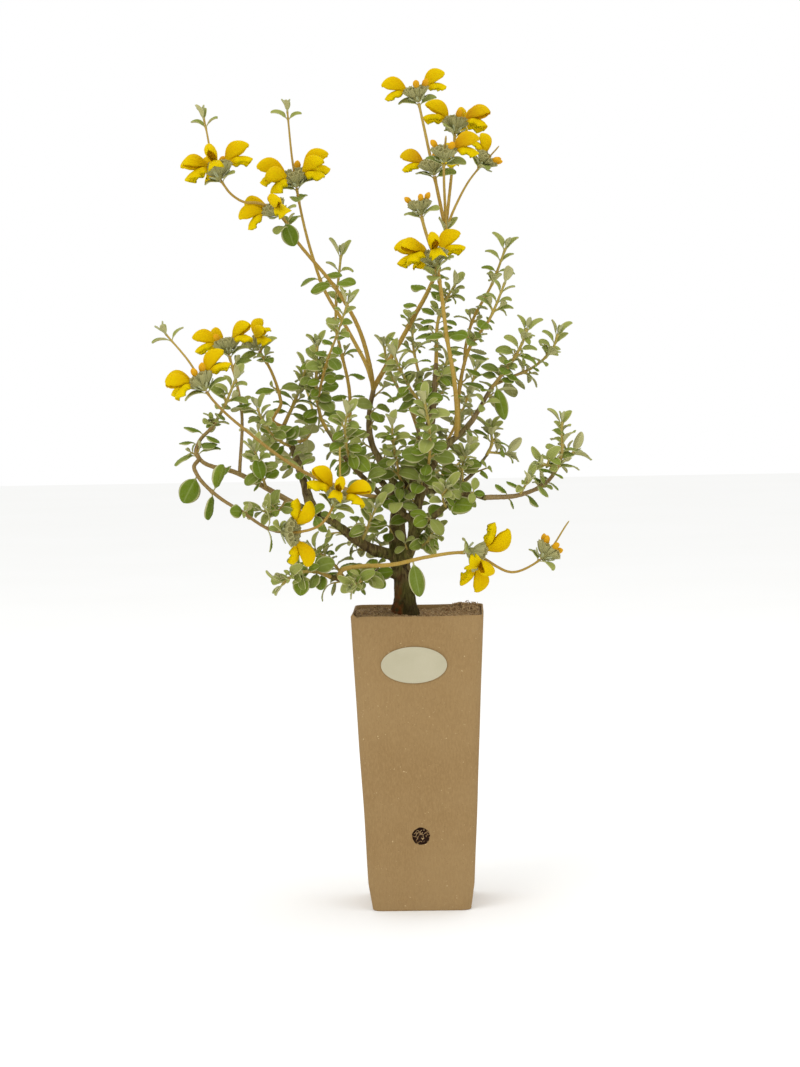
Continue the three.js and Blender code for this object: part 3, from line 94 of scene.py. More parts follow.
# Stems in leaf. A whorl's angles run round its stem: 0 is to the right of it in the front view, -90 is near
STEMS = {
    "top_flowers": dict(on="limb_mid", radius=1.8, tip=1.2, pairs=3, bare=6, way=[[374, 388, 17],
      [380, 375, 18],
      [390, 360, 20], [401, 341, 21], [410, 324, 21], [419, 306, 19], [433, 280, 15], [441, 255, 11],
      [446, 228, 8]],
      forks=[
        dict(radius=1.3, tip=0.8, way=[[446, 230, 8], [440, 199, 7], [434, 178, 7], [431, 160, 7],
          [426, 133, 5],
          [419, 106, 3], [415, 86, 2]], heads=[
          dict(at=[433, 170, 7], size=1.0, open=[165, -60], bud=[40, -10]),
          dict(at=[416, 97, 3], size=1, open=[172, 5], bud=[-60, -110])]),
        dict(radius=1.1, tip=0.7, way=[[446, 230, 8], [445, 205, -12], [444, 180, -25], [444, 160, -30],
          [446, 136, -33]], heads=[
          dict(at=[444, 157, -30], size=1.0, open=[-8], bud=[-165, -60])]),
        dict(radius=1.2, tip=0.8, way=[[446, 230, 8], [449, 205, 16], [451, 178, 24], [454, 150, 30],
          [456, 120, 34]], heads=[
          dict(at=[456, 129, 33], size=1.05, open=[178, -40, 10, 60], bud=[-90])]),
        dict(radius=1.0, tip=0.5, way=[[446, 230, 8], [456, 205, 12], [467, 184, 12], [478, 169, 10],
          [488, 157, 9],
          [499, 146, 7]], heads=[
          dict(at=[483, 162, 9], size=0.85, open=[150], bud=[-10, -60, 35])])]),
    "centre_flowers": dict(on="limb_right", radius=1.6, tip=1.0, pairs=2, bare=20, way=[[457, 438, -4],
      [457, 415, -13], [454, 379, -21], [447, 338, -28], [442, 300, -32], [438, 272, -34], [430, 247, -30],
      [422, 218, -26], [419, 200, -25]], heads=[
      dict(at=[437, 261, -34], size=1.1, open=[176, -145, 4, 100, -80], bud=[45]),
      dict(at=[421, 210, -25], size=0.85, open=[], bud=[-30, -85, 170, 70])]),
    "left_top_flowers": dict(on="limb_mid", radius=1.6, tip=0.6, pairs=2, bare=14, way=[[373, 390, 16],
      [371, 372, 8], [363, 340, 4], [353, 316, 0], [341, 296, -4], [326, 277, -8], [309, 256, -13],
      [296, 240, -17],
      [285, 223, -20], [274, 209, -22], [258, 203, -24], [244, 202, -25], [231, 194, -25], [222, 182, -24],
      [215, 160, -22], [208, 136, -20], [203, 116, -18]], tuft=True, heads=[
      dict(at=[277, 212, -22], size=1.0, open=[180, -90, 140], bud=[60]),
      dict(at=[219, 174, -24], size=1.1, open=[165, 125, 8, -75, -145], bud=[60])]),
    "left_bud_flowers": dict(on="limb_mid", radius=1.5, tip=0.6, pairs=2, bare=14, way=[[374, 388, 17],
      [366, 364, 26], [356, 345, 30], [345, 325, 32], [333, 306, 32], [324, 289, 31], [315, 266, 29],
      [311, 248, 28],
      [304, 215, 24], [298, 188, 20], [293, 165, 17], [289, 135, 14], [287, 108, 12]], tuft=True, heads=[
      dict(at=[297, 182, 19], size=1.1, open=[172, -130, 5, -40], bud=[90])]),
    "left_flowers": dict(on="limb_inner_left", radius=1.5, tip=0.6, pairs=0, way=[[384, 498, -21],
      [362, 494, -44],
      [340, 487, -60], [306, 473, -74], [282, 458, -80], [258, 440, -84], [229, 414, -88], [206, 391, -90],
      [192, 366, -88], [178, 350, -84], [164, 332, -80]], tuft=True, heads=[
      dict(at=[203, 386, -90], size=1.05, open=[165, 12, -145], bud=[-90, -45])]),
    "left_inner_flowers": dict(on="limb_left_up", radius=1.3, tip=0.8, pairs=2, bare=5, way=[[285, 428, -1],
      [273, 421, -6], [281, 403, -10], [277, 390, -12], [272, 373, -12], [261, 354, -12],
      [252, 340, -12]], heads=[
      dict(at=[255, 346, -12], size=0.85, open=[-60, 20], bud=[-110])]),
    "left_spray": dict(on="limb_left", radius=2.0, tip=0.8, pairs=4, bare=50, way=[[296, 505, -43],
      [278, 497, -45],
      [260, 486, -48], [237, 473, -50], [215, 463, -51], [199, 458, -50], [196, 447, -48], [203, 438, -46],
      [212, 427, -46], [222, 411, -48], [230, 393, -52], [236, 378, -54]], forks=[
        dict(radius=1.2, tip=0.8, pairs=2, bare=8, way=[[240, 474, -50], [240, 452, -46], [242, 424, -40],
          [240, 397, -36], [234, 377, -33], [229, 361, -31], [226, 343, -30]], heads=[
          dict(at=[227, 350, -30], size=0.95, open=[170, 110, -60], bud=[-120])]),
        dict(radius=1.0, tip=0.7, pairs=3, way=[[266, 490, -47], [262, 476, -58], [258, 462, -66],
          [254, 450, -70]]),
        dict(radius=1.0, tip=0.7, pairs=2, way=[[286, 501, -44], [281, 509, -54], [272, 513, -64],
          [262, 511, -72]]),
        dict(radius=1.4, tip=0.6, pairs=3, bare=8, way=[[200, 459, -50], [194, 467, -58], [201, 480, -68],
          [216, 495, -78], [231, 505, -85], [252, 518, -92], [272, 530, -97], [290, 532, -101],
          [307, 531, -104],
          [320, 525, -106], [330, 511, -106], [337, 496, -105], [338, 472, -102], [340, 447, -98]], heads=[
          dict(at=[286, 533, -100], size=1.05, open=[180, 10], bud=[]),
          dict(at=[335, 500, -106], size=1.05, open=[165, -20, -130, -75], bud=[])])]),
    "low_flowers": dict(on="limb_low_left", radius=1.7, tip=0.5, pairs=0, way=[[338, 579, -28],
      [344, 569, -42],
      [369, 566, -50], [396, 564, -55], [427, 557, -58], [452, 554, -60], [470, 553, -60], [486, 558, -59],
      [500, 566, -58], [515, 572, -56], [530, 566, -54], [541, 559, -52], [552, 547, -50], [562, 533, -48],
      [569, 521, -46]], heads=[
      dict(at=[472, 553, -60], size=1.15, open=[180, -90, 0], bud=[-45]),
      dict(at=[545, 555, -52], size=1.0, open=[], bud=[180, -130, -80, 20])]),

    "left_up_front": dict(on="limb_left_up", radius=1.1, tip=0.7, pairs=3, way=[[292, 446, -13],
      [280, 441, -28],
      [270, 432, -38], [262, 420, -44], [257, 407, -46]]),
    "left_up_tip": dict(on="limb_left_up", radius=1.4, tip=0.8, pairs=3, way=[[284, 425, 0], [289, 410, 3],
      [297, 396, 5], [303, 382, 5], [306, 368, 4]]),
    "left_up_back": dict(on="limb_left_up", radius=1.1, tip=0.7, pairs=3, way=[[300, 470, -25], [292, 463, 0],
      [279, 455, 24], [266, 446, 44], [256, 434, 58]]),
    "left_deep_back": dict(on="limb_left_up", radius=1.3, tip=0.8, pairs=2, way=[[290, 441, -10],
      [304, 440, 20],
      [312, 428, 46], [312, 408, 64], [306, 388, 76]]),
    "inner_left_fork": dict(on="limb_inner_left", radius=1.3, tip=0.9, pairs=4, way=[[327, 430, 6],
      [321, 418, 6],
      [318, 404, 2], [317, 385, -6], [316, 364, -14], [317, 345, -20]],
      forks=[dict(radius=1.0, tip=0.7, pairs=3, way=[[318, 400, 0], [322, 380, -22], [329, 354, -34],
        [338, 332, -42], [346, 313, -46], [348, 302, -47]])]),
    "inner_back_tall": dict(on="limb_inner_back", radius=1.3, tip=0.8, pairs=3, way=[[350, 424, 42],
      [350, 404, 46],
      [349, 387, 47], [345, 367, 48], [339, 347, 49], [336, 322, 50], [336, 297, 51], [338, 275, 52],
      [341, 254, 53]]),
    "inner_back_side": dict(on="limb_inner_back", radius=1.0, tip=0.7, pairs=2, way=[[366, 463, 30],
      [354, 459, 52],
      [343, 450, 70], [336, 436, 82]]),
    "inner_left_front": dict(on="limb_inner_left", radius=1.0, tip=0.7, pairs=4, way=[[355, 470, -15],
      [350, 458, -30], [346, 443, -42], [345, 427, -50], [348, 412, -54]]),
    "low_left_tip": dict(on="limb_low_left", radius=1.4, tip=0.8, pairs=4, way=[[331, 577, -32],
      [317, 572, -40],
      [303, 572, -50], [291, 577, -58], [281, 586, -64]]),
    "low_left_up": dict(on="limb_low_left", radius=1.1, tip=0.7, pairs=3, way=[[346, 580, -25],
      [336, 566, -12],
      [324, 556, -6], [312, 548, -4]]),
    "low_left_front": dict(on="limb_low_left", radius=1.0, tip=0.7, pairs=3, way=[[370, 575, -17],
      [366, 578, -34],
      [360, 582, -48], [352, 586, -58]]),
    "low_upright": dict(on="limb_left", radius=1.0, tip=0.7, pairs=3, way=[[362, 542, -18], [366, 531, -26],
      [371, 519, -32], [376, 507, -36]]),
    "low_back": dict(on="trunk", radius=1.2, tip=0.8, pairs=3, way=[[400, 560, 2], [384, 550, 24],
      [366, 543, 44],
      [350, 537, 60], [337, 528, 70]]),
    "low_right": dict(on="limb_right", radius=0.9, tip=0.7, pairs=3, way=[[411, 548, -6], [422, 545, -14],
      [430, 539, -20], [434, 530, -22]]),
    "centre_front": dict(on="trunk", radius=1.1, tip=0.7, pairs=4, way=[[404, 490, 10], [399, 474, -8],
      [396, 456, -18], [393, 440, -24], [392, 424, -27]]),
    "centre_left": dict(on="trunk", radius=1.1, tip=0.8, pairs=4, way=[[430, 424, 4], [421, 404, -4],
      [409, 387, -10], [400, 371, -12], [394, 355, -12]]),
    "centre_tall": dict(on="trunk", radius=1.4, tip=0.8, pairs=4, way=[[436, 366, -2], [436, 344, 2],
      [440, 314, 6],
      [448, 296, 4], [456, 284, 0]]),
    "centre_back": dict(on="trunk", radius=1.2, tip=0.8, pairs=3, way=[[432, 410, 2], [424, 388, 26],
      [417, 366, 44], [413, 344, 56], [412, 322, 62]]),
    "centre_low_front": dict(on="limb_right", radius=1.0, tip=0.7, pairs=4, way=[[427, 478, -11],
      [429, 460, -28],
      [430, 440, -42], [428, 418, -50], [424, 400, -54]]),
    "right_tall": dict(on="limb_right", radius=1.5, tip=0.8, pairs=4, way=[[459, 436, -4], [458, 413, 2],
      [459, 393, 6], [463, 369, 6], [469, 349, 2], [479, 336, -2], [489, 320, -6], [499, 298, -8],
      [506, 280, -8]],
      forks=[dict(radius=1.2, tip=0.8, pairs=3, way=[[464, 364, 6], [466, 345, 20], [472, 322, 30],
        [482, 303, 34],
        [492, 284, 36], [500, 265, 36], [506, 247, 35]])]),
    "right_upper": dict(on="limb_right", radius=1.3, tip=0.8, pairs=4, way=[[491, 389, 0], [497, 381, 0],
      [507, 364, -4], [515, 352, -6], [523, 341, -7], [527, 328, -7]],
      forks=[dict(radius=1.1, tip=0.8, pairs=3, way=[[494, 385, 0], [509, 378, 10], [529, 369, 16],
        [542, 361, 18],
        [553, 348, 18], [558, 333, 18]])]),
    "right_back": dict(on="limb_right", radius=1.1, tip=0.8, pairs=3, way=[[444, 448, -7], [452, 432, 22],
      [462, 412, 44], [470, 390, 60], [476, 368, 70]]),
    "right_mid_tip": dict(on="limb_right_mid", radius=1.2, tip=0.7, pairs=3, way=[[487, 456, 20],
      [492, 443, 22],
      [490, 428, 22]],
      forks=[dict(radius=0.9, tip=0.7, pairs=2, way=[[488, 452, 20], [499, 452, 28], [509, 454, 33]])]),
    "right_mid_near": dict(on="limb_right_mid", radius=0.9, tip=0.7, pairs=3, way=[[463, 482, 14],
      [462, 468, 4],
      [466, 455, -4]]),
    "right_low_near": dict(on="limb_right_low", radius=0.9, tip=0.7, pairs=2, way=[[446, 508, -30],
      [443, 497, -42],
      [447, 488, -50]]),
    "right_low_tip": dict(on="limb_right_low", radius=1.8, tip=0.8, pairs=4, bare=18, way=[[484, 498, -42],
      [510, 497, -46], [531, 491, -48], [547, 482, -48], [557, 468, -46], [561, 456, -44], [562, 443, -42],
      [562, 430, -41], [562, 421, -41]],
      forks=[dict(radius=0.9, tip=0.7, pairs=2, way=[[561, 459, -44], [567, 455, -36], [575, 452, -30]]),
        dict(radius=0.9, tip=0.7, pairs=2, way=[[557, 468, -46], [549, 466, -56], [541, 463, -62]]),
        dict(radius=0.9, tip=0.7, pairs=1, way=[[520, 495, -47], [524, 487, -56], [529, 479, -62]])]),
    "back_tall": dict(on="limb_back", radius=1.4, tip=0.8, pairs=2, way=[[418, 430, 81], [410, 408, 88],
      [398, 388, 92], [388, 366, 92], [384, 345, 90]],
      forks=[dict(radius=1.1, tip=0.8, pairs=3, way=[[414, 418, 85], [428, 400, 96], [440, 380, 100],
        [448, 358, 98]])]),
    "back_low": dict(on="limb_back", radius=1.1, tip=0.8, pairs=2, way=[[412, 487, 44], [426, 482, 66],
      [444, 474, 84], [460, 462, 96], [470, 446, 102]]),
}


# Vectors are plain tuples here, so that the layout comes out as it does in the solids
def plus(a, b, k=1.0):
    return (a[0] + b[0] * k, a[1] + b[1] * k, a[2] + b[2] * k)


def times(a, k):
    return (a[0] * k, a[1] * k, a[2] * k)


def dot(a, b):
    return a[0] * b[0] + a[1] * b[1] + a[2] * b[2]


def cross(a, b):
    return (a[1] * b[2] - a[2] * b[1], a[2] * b[0] - a[0] * b[2], a[0] * b[1] - a[1] * b[0])


def length_of(a):
    return math.sqrt(dot(a, a))


def unit(a):
    return times(a, 1 / length_of(a))


def between(a, b, part):
    return plus(a, plus(b, a, -1), part)


def apart(a, b):
    return length_of(plus(a, b, -1))


def square_to(a, axis):
    return unit(plus(a, axis, -dot(a, axis)))


RIGHT = (math.cos(VIEW["azimuth"] * RAD), math.sin(VIEW["azimuth"] * RAD), 0.0)
AWAY = (-math.sin(VIEW["azimuth"] * RAD), math.cos(VIEW["azimuth"] * RAD), 0.0)
UP = (0.0, 0.0, 1.0)
PITCH = VIEW["pitch"] * RAD
ROLL = VIEW["roll"] * RAD
FORWARD = plus(times(AWAY, math.cos(PITCH)), UP, -math.sin(PITCH))
ABOVE = plus(times(UP, math.cos(PITCH)), AWAY, math.sin(PITCH))
EYE = plus(plus(times(RIGHT, VIEW["across"]), UP, VIEW["up"]), FORWARD, -VIEW["distance"])


def seen(mark):
    """The place of a mark in the front view: pixels across and down, and mm behind the pot's middle"""
    a = (mark[0] - VIEW_SIZE[0] / 2) / VIEW["focal"]
    b = (VIEW_SIZE[1] / 2 - mark[1]) / VIEW["focal"]
    ray = plus(FORWARD, RIGHT, a * math.cos(ROLL) + b * math.sin(ROLL))
    ray = plus(ray, ABOVE, b * math.cos(ROLL) - a * math.sin(ROLL))
    return plus(EYE, ray, (mark[2] - dot(EYE, AWAY)) / dot(ray, AWAY))


def drawer(seed):
    """Draws that repeat from run to run"""
    state = [seed * 7919 + 17]

    def draw(low, high):
        state[0] = (state[0] * 1664525 + 1013904223) % 4294967296
        return low + (high - low) * (state[0] / 4294967296)

    draw(0, 1)
    draw(0, 1)
    return draw


def around(axis, degrees):
    """The direction that points out from a stem at an angle round it"""
    right = cross(AWAY, axis)
    if length_of(right) < 0.15:
        right = RIGHT
    right = square_to(right, axis)
    back = cross(axis, right)
    return plus(times(right, math.cos(degrees * RAD)), back, math.sin(degrees * RAD))


def thinned(points, tolerance):
    last = len(points) - 1
    start = points[0]
    chord = plus(points[last], start, -1)
    reach = dot(chord, chord)
    worst, at = 0.0, 0
    for i in range(1, last):
        part = min(max(dot(plus(points[i], start, -1), chord) / reach, 0), 1)
        gap = apart(plus(start, chord, part), points[i])
        if gap > worst:
            worst, at = gap, i
    if worst < tolerance:
        return [points[0], points[last]]
    return thinned(points[:at + 1], tolerance) + thinned(points[at:], tolerance)[1:]


def curve_point(points, p):
    """A point of the curve that passes through all the points, at a count of points along it"""
    last = len(points) - 1
    i = min(int(math.floor(p)), last - 1)
    w = p - i
    b, c = points[i], points[i + 1]
    a = points[i - 1] if i > 0 else plus(times(b, 2), c, -1)
    d = points[i + 2] if i + 2 <= last else plus(times(c, 2), b, -1)
    made = []
    for k in range(3):
        t0, t1 = 0.5 * (c[k] - a[k]), 0.5 * (d[k] - b[k])
        c2 = -3 * b[k] + 3 * c[k] - 2 * t0 - t1
        c3 = 2 * b[k] - 2 * c[k] + t0 + t1
        made.append(b[k] + t0 * w + c2 * w * w + c3 * w * w * w)
    return tuple(made)


class Line:
    """A line through waypoints, with its running length, radius and side direction, and a smooth course"""

    def __init__(self, points, foot, tip, tolerance, spin):
        steps = (len(points) - 1) * 2
        full = [curve_point(points, (len(points) - 1) * (d / steps)) for d in range(steps + 1)]
        self.path = thinned(full, tolerance)
        count = len(self.path) - 1
        self.run = [0.0]
        for i in range(count):
            self.run.append(self.run[i] + apart(self.path[i + 1], self.path[i]))
        self.length = self.run[count]
        self.radius = [foot + (tip - foot) * (at / self.length) for at in self.run]
        side = around(unit(plus(self.path[1], self.path[0], -1)), spin)
        self.sides = []
        for i in range(count + 1):
            along = unit(plus(self.path[min(i + 1, count)], self.path[max(i - 1, 0)], -1))
            side = square_to(side, along)
            self.sides.append(side)
        self.course = np.array(self.path)
        slope = np.gradient(self.course, np.array(self.run), axis=0) if count > 1 else None
        self.slope = slope

    def place(self, distance):
        at = min(max(distance, 0), self.length)
        i = 1
        while i < len(self.run) - 1 and self.run[i] < at:
            i += 1
        part = (at - self.run[i - 1]) / (self.run[i] - self.run[i - 1])
        point = between(self.path[i - 1], self.path[i], part)
        along = unit(plus(self.path[i], self.path[i - 1], -1))
        side = square_to(between(self.sides[i - 1], self.sides[i], part), along)
        radius = self.radius[i - 1] + (self.radius[i] - self.radius[i - 1]) * part
        return dict(point=point, along=along, side=side, radius=radius)

    def smooth(self, distances):
        """Points of a smooth course through the line's corners, at distances from its foot"""
        at = np.clip(np.asarray(distances, float), 0, self.length)
        run = np.array(self.run)
        i = np.clip(np.searchsorted(run, at) - 1, 0, len(run) - 2)
        span = (run[i + 1] - run[i])[..., None]
        w = ((at - run[i])[..., None]) / span
        a, b = self.course[i], self.course[i + 1]
        if self.slope is None:
            return a + (b - a) * w
        ta, tb = self.slope[i] * span, self.slope[i + 1] * span
        return (a * (2 * w**3 - 3 * w**2 + 1) + ta * (w**3 - 2 * w**2 + w)
                + b * (3 * w**2 - 2 * w**3) + tb * (w**3 - w**2))

    def shift(self, distance):
        return tuple(self.smooth([distance])[0] - np.array(self.place(distance)["point"]))


def nearest_on(stem, point):
    best, shortest = 0.0, 1e9
    for i in range(401):
        distance = stem.length * (i / 400)
        gap = apart(stem.place(distance)["point"], point)
        if gap < shortest:
            best, shortest = distance, gap
    return best


def blade_at(blade, share):
    """A blade's midline bends down as it goes out: the frame at a share of its length"""
    turn = blade["bend"] * RAD
    start = blade["lift"] * RAD
    angle = start - turn * share
    out = (math.sin(start) - math.sin(angle)) / turn
    up = (math.cos(angle) - math.cos(start)) / turn
    point = plus(plus(blade["root"], blade["out"], blade["length"] * out), blade["up"], blade["length"] * up)
    along = plus(times(blade["out"], math.cos(angle)), blade["up"], math.sin(angle))
    flat = cross(blade["up"], blade["out"])
    roll = blade["roll"] * RAD
    side = plus(times(flat, math.cos(roll)), cross(along, flat), math.sin(roll))
    return dict(point=point, along=along, side=side)


# Spheres that stand for what is already placed, entered in every cell that they can be found from
CELL = 8.0
placed = {}


def put(owner, kind, point, radius):
    x, y, z = (math.floor(value / CELL) for value in point)
    for i in (-1, 0, 1):
        for j in (-1, 0, 1):
            for k in (-1, 0, 1):
                placed.setdefault((x + i, y + j, z + k), []).append((owner, kind, point, radius))


def put_line(owner, stem, start, end):
    at = start
    while at <= end:
        place = stem.place(at)
        put(owner, "stem", place["point"], place["radius"])
        at += 1.5


# Leaves: narrow and steep at a shoot's tip (age 0), broad and spreading lower down (age 1)
LEAF_PROBES = (0.34, 0.5, 0.66, 0.82, 1)
UPRIGHT = dict(stem=0.7, world=0.4)
PROBE_RADIUS = 0.8
POT_CLEAR = dict(half=47.0, top=203.5)
CROWN_DEEP = 118.0
OTHER_GAP = 0.45
OWN_GAP = dict(blade=0.0, root=-0.3, stem=0.0, floret=0.1)
TURNS = (0, 16, -16, 32, -32)
LIFTS = (0, 18, -18, -36)
SCALES = (1, 0.85, 0.7)
LIFT_LIMIT = 76


def leaf_for(place, face, root, age, scale, draw):
    up = unit(plus(times(place["along"], UPRIGHT["stem"]), UP, UPRIGHT["world"]))
    length = (LEAF["young"] + (LEAF["old"] - LEAF["young"]) * age) * scale * draw(0.86, 1.14)
    turn = draw(-9, 9)
    width = length * (LEAF["slim"] + (LEAF["broad"] - LEAF["slim"]) * age) * draw(0.9, 1.1)
    lift = 72 - 48 * age + draw(-8, 8)
    bend = 36 + 14 * age + 150 * age * (1 - age) + draw(-14, 14)
    roll = LEAF["turn"] * dot(face, RIGHT) + draw(-14, 14)
    return dict(root=plus(place["point"], face, root), face=face, up=up, turn=turn, length=length,
                width=width, lift=lift, bend=bend, roll=roll, age=age)


def probes_of(blade):
    probes = []
    for share in LEAF_PROBES:
        at = blade_at(blade, share)
        reach = blade["width"] * 0.42 if share < 1 else 0
        for across in ((-reach, 0, reach) if reach > 0 else (0,)):
            probes.append((plus(at["point"], at["side"], across), share))
    return probes


# Up to this share of its length, a leaf may touch what grows from its own stem
ROOT_SHARE = 0.4


def is_free(owner, probes, room):
    for point, share in probes:
        over_pot = abs(point[0]) < POT_CLEAR["half"] and abs(point[1]) < POT_CLEAR["half"]
        if (over_pot and point[2] < POT_CLEAR["top"]) or abs(point[1]) > CROWN_DEEP:
            return False
        cell = tuple(math.floor(value / CELL) for value in point)
        for other_owner, kind, other, radius in placed.get(cell, ()):
            x, y, z = other[0] - point[0], other[1] - point[1], other[2] - point[2]
            gap = math.sqrt(x**2 + y**2 + z**2) - radius
            if other_owner != owner:
                if gap < PROBE_RADIUS + room:
                    return False
            elif share > ROOT_SHARE and gap < PROBE_RADIUS + OWN_GAP[kind]:
                return False
    return True


def take_place(owner, probes):
    for point, share in probes:
        put(owner, "blade" if share > ROOT_SHARE else "root", point, PROBE_RADIUS)


def turned(leaf, turn, lift, scale):
    angle = (leaf["turn"] + turn) * RAD
    other = unit(cross(leaf["up"], leaf["face"]))
    out = plus(times(leaf["face"], math.cos(angle)), other, math.sin(angle))
    out = square_to(out, leaf["up"])
    return dict(leaf, out=out, lift=min(leaf["lift"] + lift, LIFT_LIMIT), length=leaf["length"] * scale,
                width=leaf["width"] * scale)


def settle(owner, leaf, room=OTHER_GAP, scales=SCALES, lifts=LIFTS, turns=TURNS):
    """Turns, lifts or shortens a leaf until it is clear of everything placed before it"""
    for scale in scales:
        for lift in lifts:
            for turn in turns:
                blade = turned(leaf, turn, lift, scale)
                probes = probes_of(blade)
                if is_free(owner, probes, room):
                    take_place(owner, probes)
                    return blade
    return None


JOINT_TIP = 2.6


def faces_of(place):
    other = cross(place["along"], place["side"])
    return [place["side"], other, times(place["side"], -1), times(other, -1)]


def pair_at(owner, stem, at, first, age, scale, draw):
    """Leaves on two opposite faces of a stem"""
    place = stem.place(at)
    faces = faces_of(place)
    blades = [None] * 4
    for k in (first % 4, (first + 2) % 4):
        blades[k] = settle(owner, leaf_for(place, faces[k], place["radius"] * 0.7, age, scale, draw))
    return dict(at=at, blades=blades)


BRACT = dict(below=1.6, scale=1.0, age=0.35, apart=9.0)


def bracts(owner, part):
    if part["ends"]:
        return []
    at = part["end"] - BRACT["below"]
    first = 0 if abs(dot(part["stem"].place(at)["side"], RIGHT)) > 0.7 else 1
    return [pair_at(owner, part["stem"], at, first, BRACT["age"], BRACT["scale"], part["draw"])]


def foliage(owner, part):
    """Opposite pairs, each at right angles to the last, close together at the tip and wider apart below"""
    joints = []
    for i in range(part["pairs"]):
        share = (i / part["pairs"]) ** 1.2
        top = part["end"] - (JOINT_TIP if part["ends"] else BRACT["apart"])
        at = top - (top - part["bare"]) * share
        age = min(1, i / 3.5 if part["ends"] else 0.6 + i / 5)
        joints.append(pair_at(owner, part["stem"], at, i, age, 1, part["draw"]))
    return joints


# A whorl has seven florets round a short core: a calyx each, bare, with a bud, or with an open corolla
WHORL = dict(florets=7, below=3.9, core=3.0, half=1.6, stub=6.0)
TILTS = dict(open=28, bud=54, bare=50)
NODS = dict(open=30, bud=8, bare=0)
HANG = 16
CALYX = dict(length=7.8, mouth=1.95)


def floret_for(place, degrees, twist, tilt, size, kind):
    axis = place["along"]
    foot = plus(place["point"], around(axis, degrees), WHORL["core"] * 0.9)
    out = around(axis, degrees + twist)
    along = plus(times(out, math.cos(tilt * RAD)), axis, math.sin(tilt * RAD))
    back = square_to(axis, along)
    side = cross(axis, out)
    steep = (tilt + NODS[kind]) * RAD
    mouth = plus(foot, plus(times(out, math.cos(steep)), axis, math.sin(steep)), CALYX["length"] * size)
    return dict(along=along, back=back, side=side, mouth=mouth, size=size, kind=kind, out=out, foot=foot)


def offset(floret, along, back):
    point = plus(floret["mouth"], floret["along"], along * floret["size"])
    return plus(point, floret["back"], back * floret["size"])


def kinds_of(spec):
    """The florets' kinds in order round the whorl, starting at its first open flower or bud"""
    count = WHORL["florets"]
    kinds = ["bare"] * count
    start = (spec["open"] + spec["bud"])[0]
    step = 360 / count
    for kind in ("open", "bud"):
        for degrees in spec[kind]:
            slot = math.floor((math.fmod(degrees - start, 360) + 360) / step + 0.5) % count
            while kinds[slot] != "bare":
                slot = (slot + 1) % count
            kinds[slot] = kind
    return [(kind, start + step * i) for i, kind in enumerate(kinds)]


def lip_blade(floret):
    return dict(root=offset(floret, -1.6, -0.8), up=floret["back"], out=floret["along"],
                length=LIP["length"] * floret["size"], width=LIP["width"] * floret["size"], lift=LIP["lift"],
                bend=LIP["bend"], roll=0)


# The spheres that a floret fills: hood spheres are (along, back, to each side, radius), and lip spheres are
# (share of the length, share of the half width, how far the side ones hang)
CALYX_FILL = ((0.25, 1.6), (0.62, 2), (0.94, 2.2))
HOOD_FILL = ((2, 1.6, 0, 2), (4.5, 0.3, 1.2, 1.5), (4.5, 3, 0, 2.2), (8, -0.1, 1.8, 1.6), (8, 3, 0, 2.6),
             (8, 5.2, 0, 1.8), (11.2, -0.1, 1.9, 1.6), (11.2, 3, 0, 2.6), (14.2, -0.2, 0.8, 1.5),
             (14, 1.8, 0, 2.1), (15.7, -0.6, 0, 1))
LIP_FILL = ((0.22, 0.6, 1.8), (0.36, 0.8, 3.4), (0.5, 0.66, 3), (0.66, 0.66, 2.8), (0.82, 0.8, 3.4),
            (0.95, 0, 0))


def fill_of(floret):
    size = floret["size"]
    fill = [(between(floret["foot"], floret["mouth"], share), radius * size) for share, radius in CALYX_FILL]
    if floret["kind"] == "bud":
        fill.append((offset(floret, 2.5, 0), 2.4 * size))
    if floret["kind"] != "open":
        return fill
    for along, back, reach, radius in HOOD_FILL:
        for across in ((-reach, reach) if reach > 0 else (0,)):
            fill.append((plus(offset(floret, along, back), floret["side"], across * size), radius * size))
    lip = lip_blade(floret)
    for share, wide, hang in LIP_FILL:
        at = blade_at(lip, share)
        for reach in ((-1, 0, 1) if wide > 0 else (0,)):
            point = plus(at["point"], at["side"], reach * wide * lip["width"] * 0.5)
            fill.append((plus(point, floret["back"], -hang * size * abs(reach)), 1.1 * size))
    return fill


FLORET_ROOM = 0.4
FLORET_SIZES = (1, 0.9)
FLORET_SWINGS = ((0, 0), (9, 0), (-9, 0), (0, 10), (0, -10), (18, 0), (-18, 0), (12, 12), (-12, 12),
                 (12, -12), (-12, -12), (26, 0), (-26, 0), (0, 20), (0, -20), (22, 16), (-22, 16),
                 (22, -16), (-22, -16), (0, 32))


def crossing(owner, fill):
    """How deep the fill of a floret reaches into other stems and flowers, at its worst"""
    worst = 0.0
    for point, radius in fill:
        cell = tuple(math.floor(value / CELL) for value in point)
        for other_owner, kind, other, size in placed.get(cell, ()):
            if other_owner != owner:
                worst = max(worst, radius + size + FLORET_ROOM - math.dist(other, point))
    return worst


def settle_floret(owner, place, degrees, tilt, size, kind):
    """Swings, tilts or shrinks a floret until it is clear, or else takes its least crossed place"""
    best, least = None, math.inf
    for scale in FLORET_SIZES:
        for twist, lean in FLORET_SWINGS:
            floret = floret_for(place, degrees, twist, tilt + lean, size * scale, kind)
            depth = crossing(owner, fill_of(floret))
            if depth < least - 0.01:
                best, least = floret, depth
            if least <= 0:
                break
        if least <= 0:
            break
    for point, radius in fill_of(best):
        put(owner, "floret", point, radius)
    return best


def whorl(owner, stem, distance, spec, draw):
    place = stem.place(distance)
    florets = []
    for kind, degrees in kinds_of(spec):
        near = max(0.0, -around(place["along"], degrees)[1]) if kind == "open" else 0.0
        tilt = TILTS[kind] + draw(-8, 8) - HANG * near
        size = spec["size"] * draw(0.94, 1.06)
        florets.append(settle_floret(owner, place, degrees, tilt, size, kind))
    return florets


